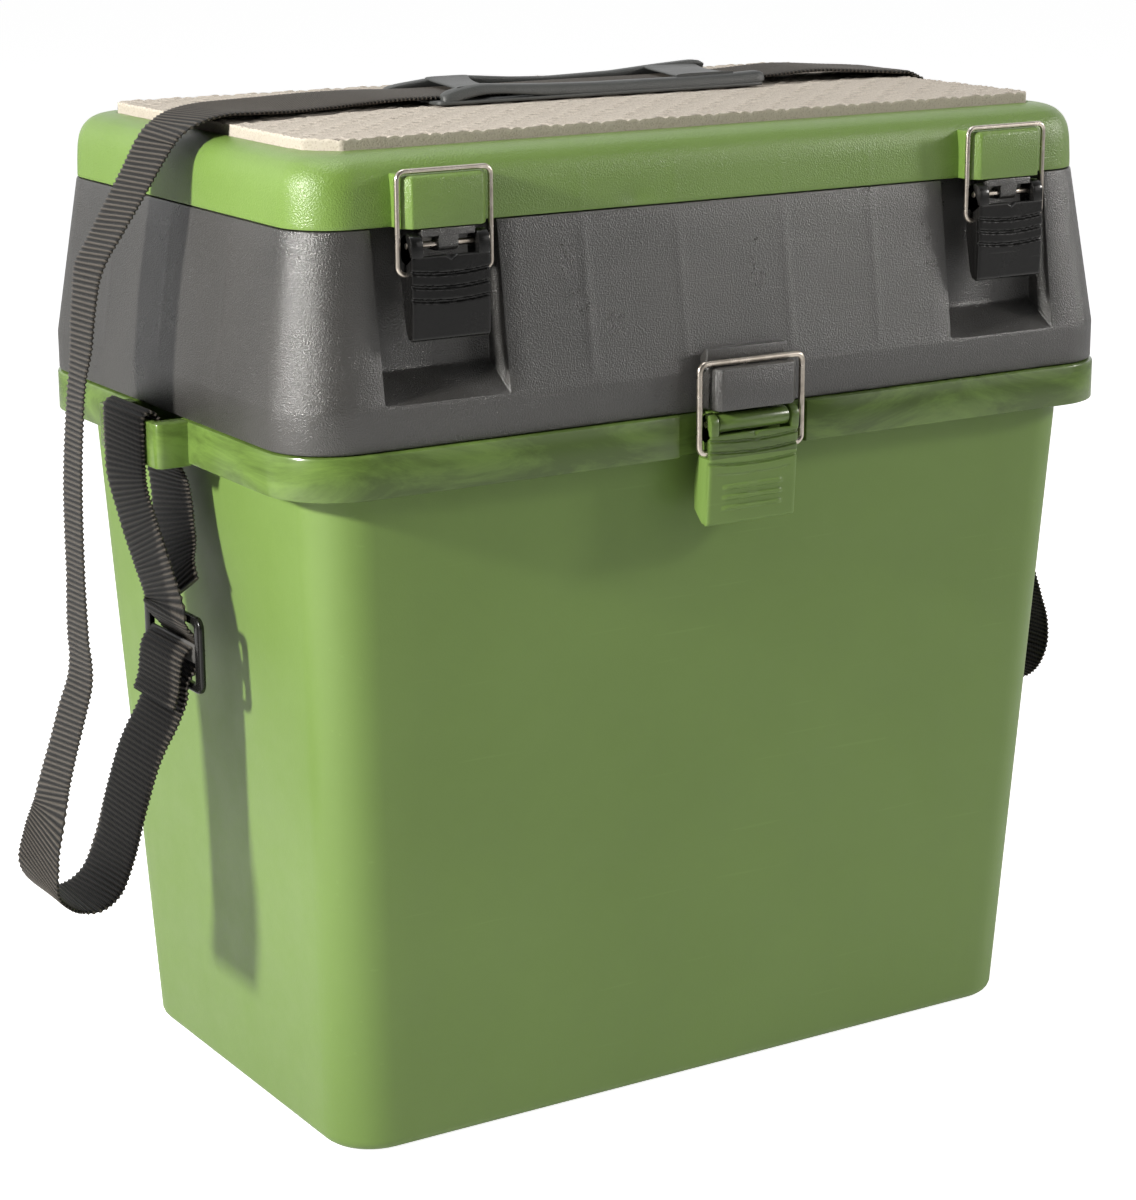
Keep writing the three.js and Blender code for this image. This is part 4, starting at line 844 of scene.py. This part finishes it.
def strap_route():
    """The stops of the whole strap from its left end to its right, each a point and the way its width
    lies, and the numbers of the stops where it is cut."""
    def lying_level(points):
        return [(*point, 0, 1, 0) for point in points]

    def loop(side):
        outer, inner, over = 201.95, 195.05, 209.5
        stops = [
            (outer + 4.4, -16, 172.5), (outer + 0.6, -16, 181.5), (outer, -16, 187.1), (inner, -16, 196.6),
            (inner, -16, 201.4), (outer, -16, 210.9), (outer + 0.4, -16, 216.5), (outer + 2.8, -12, 230.5),
            (over - 2, -5, 249), (over, -1, 264), (over, 0, 274), (over, 0, 286), (over - 0.5, 0, 291.2),
            ((over + 203) / 2, 0, 293.2), (203, 0, 291), (201.6, 0, 286), (197, 0, 275), (192, 0, 265),
            (190.8, -1, 255), (191.8, -4, 241), (194.4, -9, 228.5), (inner + 0.3, -15, 218.5),
        ]
        return lying_level([(side * x, y, z) for x, y, z in stops])
    left_slack = [
        (-231.6, -5.3, 296, .23, .97, -.11), (-233.7, -6.7, 280, .22, .97, -.12),
        (-235.4, -8.4, 264, .21, .97, -.13), (-236.7, -10.6, 247, .21, .97, -.14),
        (-237.7, -12.8, 231, .21, .96, -.15), (-238.8, -15, 216, .19, .97, -.15),
        (-239.3, -16.5, 206, .18, .97, -.15), (-239.2, -17.5, 199.5, .17, .97, -.15),
        (-240.4, -18.7, 191, .15, .98, -.15), (-244.5, -19.8, 180, .12, .98, -.15),
        (-249.8, -21.5, 166, .11, .98, -.16), (-254.8, -23.3, 153, .08, .98, -.17),
        (-258.9, -25.2, 141, .04, .99, -.16), (-261.4, -23.6, 128, .03, 1, -.1),
    ] + lying_level([
        (-260.4, -19, 112), (-253, -17, 103.5), (-243.5, -17, 101.5), (-234.8, -16.5, 106), (-228, -16, 119),
        (-221.8, -16, 139), (-214.8, -16, 158),
    ])
    left_upper = [
        (-193.2, -1.5, 393.2, .05, 1, -.02), (-198.6, -1.6, 385, .07, 1, -.04),
        (-203.7, -1.6, 377, .07, 1, -.06), (-209, -1.7, 369, .08, .99, -.07),
        (-214.3, -1.9, 361, .1, .99, -.07), (-218.7, -1.9, 354.5, .11, .99, -.08),
        (-221.7, -2, 349.5, .11, .99, -.08), (-223.4, -2.2, 344, .14, .99, -.08),
        (-224.7, -2.6, 337, .16, .98, -.08), (-226.2, -3.1, 328, .17, .98, -.08),
        (-227.5, -3.8, 318, .19, .98, -.1), (-229.3, -4.3, 309, .23, .97, -.1),
        (-230.3, -4.6, 304, .23, .97, -.11), (-231, -4.9, 300, .23, .97, -.11),
    ]
    over_lid = [
        (-192, -1.5, 394.8, .05, 1, -.02), (-189.6, -1.7, 397.8, .06, 1, 0), (-185.5, -2, 400.8, .02, 1, -.02),
        (-179.5, -1.7, 403.4, -.07, 1, -.03), (-171, -.7, 405, -.14, .99, -.01),
        (-160, 1.3, 405.3, -.21, .98, .03), (-145, 5, 405, -.25, .97, .05), (-125, 10.5, 404.9, -.25, .97, .05),
        (-105, 15, 405.1, -.17, .98, .04), (-86, 16.7, 405.2, -.05, 1, .02),
    ] + lying_level([
        (-64, 17, 404.7), (0, 17, 404.7), (82, 17, 404.7), (96, 17, 405.3), (122, 16, 406.4), (148, 14, 404.9),
        (162, 12, 404), (169.6, 11, 403.1), (174.8, 10.2, 400.6), (179, 9.2, 397.9), (185, 7.8, 393.4),
        (189.6, 6.7, 388), (192, 6, 383.6),
    ])
    right_upper = lying_level([
        (194.3, 5.2, 379.2), (200, 3, 370), (209, -3, 357), (218, -8, 344), (225, -11, 331), (228, -12, 318),
        (228, -12, 304), (228, -12, 300),
    ])
    right_slack = lying_level([
        (228, -12, 296), (227.5, -13, 262), (226, -14, 215), (227, -15, 180), (232.5, -15, 163),
        (237.4, -15, 148), (237.2, -15, 135), (231.5, -15, 126), (223, -15.5, 124), (216.5, -16, 131),
        (212, -16, 146), (208.5, -16, 162),
    ])
    left = loop(-1)[::-1] + left_slack[::-1] + left_upper[::-1]
    right = right_upper + right_slack + loop(1)
    whole = left + over_lid + right
    first, last = len(left), len(left) + len(over_lid) - 1
    left_case, right_case = first - len(left_upper), last + len(right_upper)
    cuts = (0, left_case - LEFT_SLACK, left_case, first, last, right_case, right_case + RIGHT_SLACK, len(whole) - 1)
    return np.array(whole, float), cuts


def along_route(stops, u):
    """Points at the numbers u of a centripetal Catmull-Rom curve: each span is a cubic whose end
    slopes come from the neighbouring stops, spaced by the square roots of their distances."""
    places = np.vstack([2 * stops[0] - stops[1], stops, 2 * stops[-1] - stops[-2]])[:, :3]
    k = np.clip(np.floor(u).astype(int), 0, len(stops) - 2)
    w = (u - k)[:, None]
    p0, p1, p2, p3 = (places[k + n] for n in range(4))
    d0, d1, d2 = (np.sqrt(np.linalg.norm(b - a, axis=1, keepdims=True)) for a, b in ((p0, p1), (p1, p2), (p2, p3)))
    m1 = ((p1 - p0) / d0 - (p2 - p0) / (d0 + d1) + (p2 - p1) / d1) * d1
    m2 = ((p2 - p1) / d1 - (p3 - p1) / (d1 + d2) + (p3 - p2) / d2) * d1
    return p1 + m1 * w + (3 * p2 - 3 * p1 - 2 * m1 - m2) * w ** 2 + (2 * p1 - 2 * p2 + m1 + m2) * w ** 3


def ribbon(stops, cuts):
    """Grids and weave coordinates of the webbing between the cuts. Rows lie every sixth of a rib
    along the route. Across it the thickness is constant but for thinner edges, and both faces
    carry ribs: a raised cosine of the length, 0.5 mm high, that also scallops the edges."""
    u = np.linspace(0, len(stops) - 1, 6000)
    route = along_route(stops, u)
    length = np.concatenate([[0], np.cumsum(np.linalg.norm(np.diff(route, axis=0), axis=1))])
    marks = np.interp(np.array(cuts, float), u, length)
    w = np.linspace(1, -1, 13)
    w = squared(w, 0.8)
    grids, weaves = [], []
    for a, b in zip(marks[:-1], marks[1:]):
        s = np.linspace(a, b, max(4, int((b - a) / (RIB / 6))))
        at = np.interp(s, length, u)
        point = along_route(stops, at)
        later, earlier = np.minimum(at + 0.01, len(stops) - 1), np.maximum(at - 0.01, 0)
        ahead = along_route(stops, later) - along_route(stops, earlier)
        ahead /= np.linalg.norm(ahead, axis=1, keepdims=True)
        k = np.clip(np.floor(at).astype(int), 0, len(stops) - 2)
        part = (at - k)[:, None]
        across = stops[k, 3:] * (1 - part) + stops[k + 1, 3:] * part
        across = across - np.sum(across * ahead, 1, keepdims=True) * ahead
        across /= np.linalg.norm(across, axis=1, keepdims=True)
        up = np.cross(ahead, across)
        rib = 0.5 + 0.5 * np.cos(2 * math.pi * s / RIB)[:, None]
        half = (WEB_WIDTH / 2 - 0.35 + 0.35 * rib)[..., None]
        thick = (WEB_THICK / 2 - 0.25 * np.abs(w) ** 12 - 0.2 + 0.5 * (rib ** 1.5 - 0.3))[..., None]
        face = point[:, None] + across[:, None] * (w[None, :, None] * half) + up[:, None] * thick
        back = point[:, None] + across[:, None] * (w[None, ::-1, None] * half) - up[:, None] * thick[:, ::-1]
        grids.append(np.concatenate([face, back], 1))
        wide = np.concatenate([w, w[::-1]]) * WEB_WIDTH / 2
        which = np.repeat([1.0, -1.0], len(w))
        weaves.append(np.stack(np.broadcast_arrays(s[:, None], wide[None], which[None]), -1))
    return grids, weaves


webbing = bpy.data.materials.new("black_webbing")
add = node_tree(webbing)
weave = add("SeparateXYZ", {0: add("Attribute", attribute_name="weave").outputs["Vector"]})
ridge = maths(add, "COSINE", maths(add, "MULTIPLY", weave.outputs[0], 2 * math.pi / RIB))
yarns = maths(add, "MULTIPLY", weave.outputs[1], 2 * math.pi / YARN)
yarn = maths(add, "SINE", maths(add, "MULTIPLY_ADD", weave.outputs[0], 2.2, yarns))
fuzz = add("TexNoise", {"Vector": add("TexCoord").outputs["Object"], "Scale": 2600.0, "Detail": 3.0})
# Painted highlight and shade: the ribs' crests are painted lighter for the lamps' highlights on them, the grooves
# between them near black for their shade.
rib_crest_painted_light = maths(add, "MULTIPLY", ramp(add, ridge, -0.3, 1.0, 0.0, 1.5), fuzz)
coated(add, mixed(add, rib_crest_painted_light, (0.004, 0.0035, 0.003), (0.092, 0.080, 0.066)), 0.5,
       (maths(add, "MULTIPLY_ADD", yarn, 0.35, fuzz), 0.6, 0.00025),
       {"Specular IOR Level": 0.18, "Sheen Weight": 0.03, "Sheen Roughness": 0.4})

strap_stops, strap_cuts = strap_route()
strap_grids, strap_weaves = ribbon(strap_stops, strap_cuts)
strap_names = ("left_run", "left_drop", "left_upper", "top", "right_upper", "right_drop", "right_run")
strap_bodies = ("tub", None, None, "lid", None, None, "tub")
strap = {}
for name, body, grid, marks in zip(strap_names, strap_bodies, strap_grids, strap_weaves):
    marks = np.vstack([marks.reshape(-1, 3), marks[0].mean(0), marks[-1].mean(0)])
    strap[name] = piece_of("webbing_" + name, [closed_skin(grid)], webbing, body, sharp=75, weave=marks)
for name in ("left_run", "left_upper", "top", "right_upper", "right_run"):
    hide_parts("strap_" + name)
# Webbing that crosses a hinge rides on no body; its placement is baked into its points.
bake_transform(strap["left_upper"])
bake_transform(strap["right_upper"])
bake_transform(strap["left_drop"])
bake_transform(strap["right_drop"])

# The ends of the webbing, folded round the slides' middle bars and sewn. Each is a short ribbon of its own.
for side in (-1, 1):
    folded = ((199.9, 201.6), (202.6, 199.4), (204.6, 195.6), (205.4, 190), (206.2, 184), (208.6, 177.5))
    stops = np.array([(side * x, -16, z, 0, 1, 0) for x, z in folded], float)
    grids, marks = ribbon(stops, (0, 5))
    marks = np.vstack([marks[0].reshape(-1, 3), marks[0][0].mean(0), marks[0][-1].mean(0)])
    end = "left" if side < 0 else "right"
    piece_of("sewn_end_" + end, [closed_skin(grids[0])], webbing, "tub", sharp=75, weave=marks)

# ---------------------------------------------------------------------------------------------
# The shoulder pad: one moulding in dark grey rubber, a shallow channel with bowed rails along both
# edges and two slanting bridges, under which the webbing is threaded.
SHOULDER_Y, SHOULDER_HALF, SHOULDER_LOW = 17.0, 27.0, 402.25
RAIL_SQUARE, SADDLE_SQUARE = 0.55, 0.5
rubber = moulded_plastic("pad_rubber", (0.045, 0.048, 0.047), (0.062, 0.065, 0.063), 0.45, 0.7, 0.45, 0.4, 0.5)


def rail(side):
    """A rail: a rounded square section pushed along x between a top and an underside that rise and
    fall along its length, both read from a few places and smoothed; its ends shrink to a blunt nose."""
    if side < 0:
        stops = [(-68, 402.4, 406.6), (-64, 402.5, 408.0), (-57, 404.2, 409.2), (-50, 405.4, 409.9),
                 (-40, 405.3, 409.3), (-20, 403.3, 408.4), (4, 402.6, 407.8), (47, 402.4, 407.6),
                 (70, 402.4, 407.8), (86, 402.6, 408.4), (90, 403.4, 408.2)]
    else:
        stops = [(-70, 403.2, 405.6), (-64, 403.0, 406.9), (-48, 403.2, 408.6), (-30, 403.2, 408.9),
                 (-8, 402.6, 407.2), (10, 402.4, 406.6), (42, 402.6, 407.3), (65, 403.6, 409.0),
                 (84, 404.8, 410.1), (88, 404.8, 409.6), (90, 405.4, 408.6)]
    at, under, over = np.array(stops).T
    x = np.concatenate([at[0] + np.array([0, 0.4, 1.2]), np.linspace(at[0] + 3, at[-1] - 3, 76),
                        at[-1] - np.array([1.2, 0.4, 0])])
    even = np.linspace(at[0], at[-1], 200)
    bell = np.exp(-np.linspace(-2, 2, 13) ** 2)
    bell /= bell.sum()

    def smooth(values):
        evenly = np.pad(np.interp(even, at, values), 6, "edge")
        return np.interp(x, even, np.convolve(evenly, bell, "valid"))
    under, over = smooth(under), smooth(over)
    nose = np.clip(np.minimum(x - at[0], at[-1] - x) / 3, 0, 1) ** 0.5
    angle = np.linspace(0, 2 * math.pi, 20, endpoint=False)
    lean = 0.7 * side * squared(np.sin(angle), RAIL_SQUARE)
    half = 2.9 * (0.4 + 0.6 * nose)
    middle = SHOULDER_Y + side * (SHOULDER_HALF - 3.9)
    grid = np.zeros((len(x), 20, 3))
    grid[..., 0] = x[:, None]
    grid[..., 1] = middle + half[:, None] * squared(np.cos(angle), RAIL_SQUARE) - lean
    tall = (over - under) / 2 * (0.5 + 0.5 * nose)
    grid[..., 2] = (under + over)[:, None] / 2 + tall[:, None] * squared(np.sin(angle), RAIL_SQUARE)
    return closed_skin(grid)


def saddle(front_low, front_high, rear_low, rear_high, crown):
    """A bridge from rail to rail: rows across the channel, each a flat rounded section along x whose
    ends run slantwise from the front rail to the rear one. Its height bows down between the rails."""
    t = np.linspace(0, 1, 25)[:, None]
    angle = np.linspace(0, 2 * math.pi, 24, endpoint=False)[None]
    low, high = front_low + (rear_low - front_low) * t, front_high + (rear_high - front_high) * t
    waist = 2.2 * (1 - (2 * t - 1) ** 2)
    x = (low + high) / 2 + ((high - low) / 2 - waist) * squared(np.sin(angle), SADDLE_SQUARE)
    z = crown - 1.3 * (1 - (2 * t - 1) ** 4) - 0.5 * (2 * t - 1) ** 8 + 0.75 * squared(np.cos(angle), SADDLE_SQUARE)
    y = SHOULDER_Y + (t - 0.5) * 46 + 0 * angle
    return closed_skin(np.stack([x, y, z], -1))


tray = soft_outline([(-71, -9.0), (-66, -9.8), (84, -9.8), (89, -9.0), (89, 43.0), (84, 43.8), (-66, 43.8),
                     (-71, 43.0)], 3, 5)
pad_parts = [rail(-1), rail(1), saddle(-61, -43, -50, -29, 408.9), saddle(46, 75, 58, 86, 408.6),
             pushed(tray, SHOULDER_LOW, 403.6, "z", 0.4)]
pad = piece_of("shoulder_pad_moulding", pad_parts, rubber, "lid")
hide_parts("shoulder_pad")
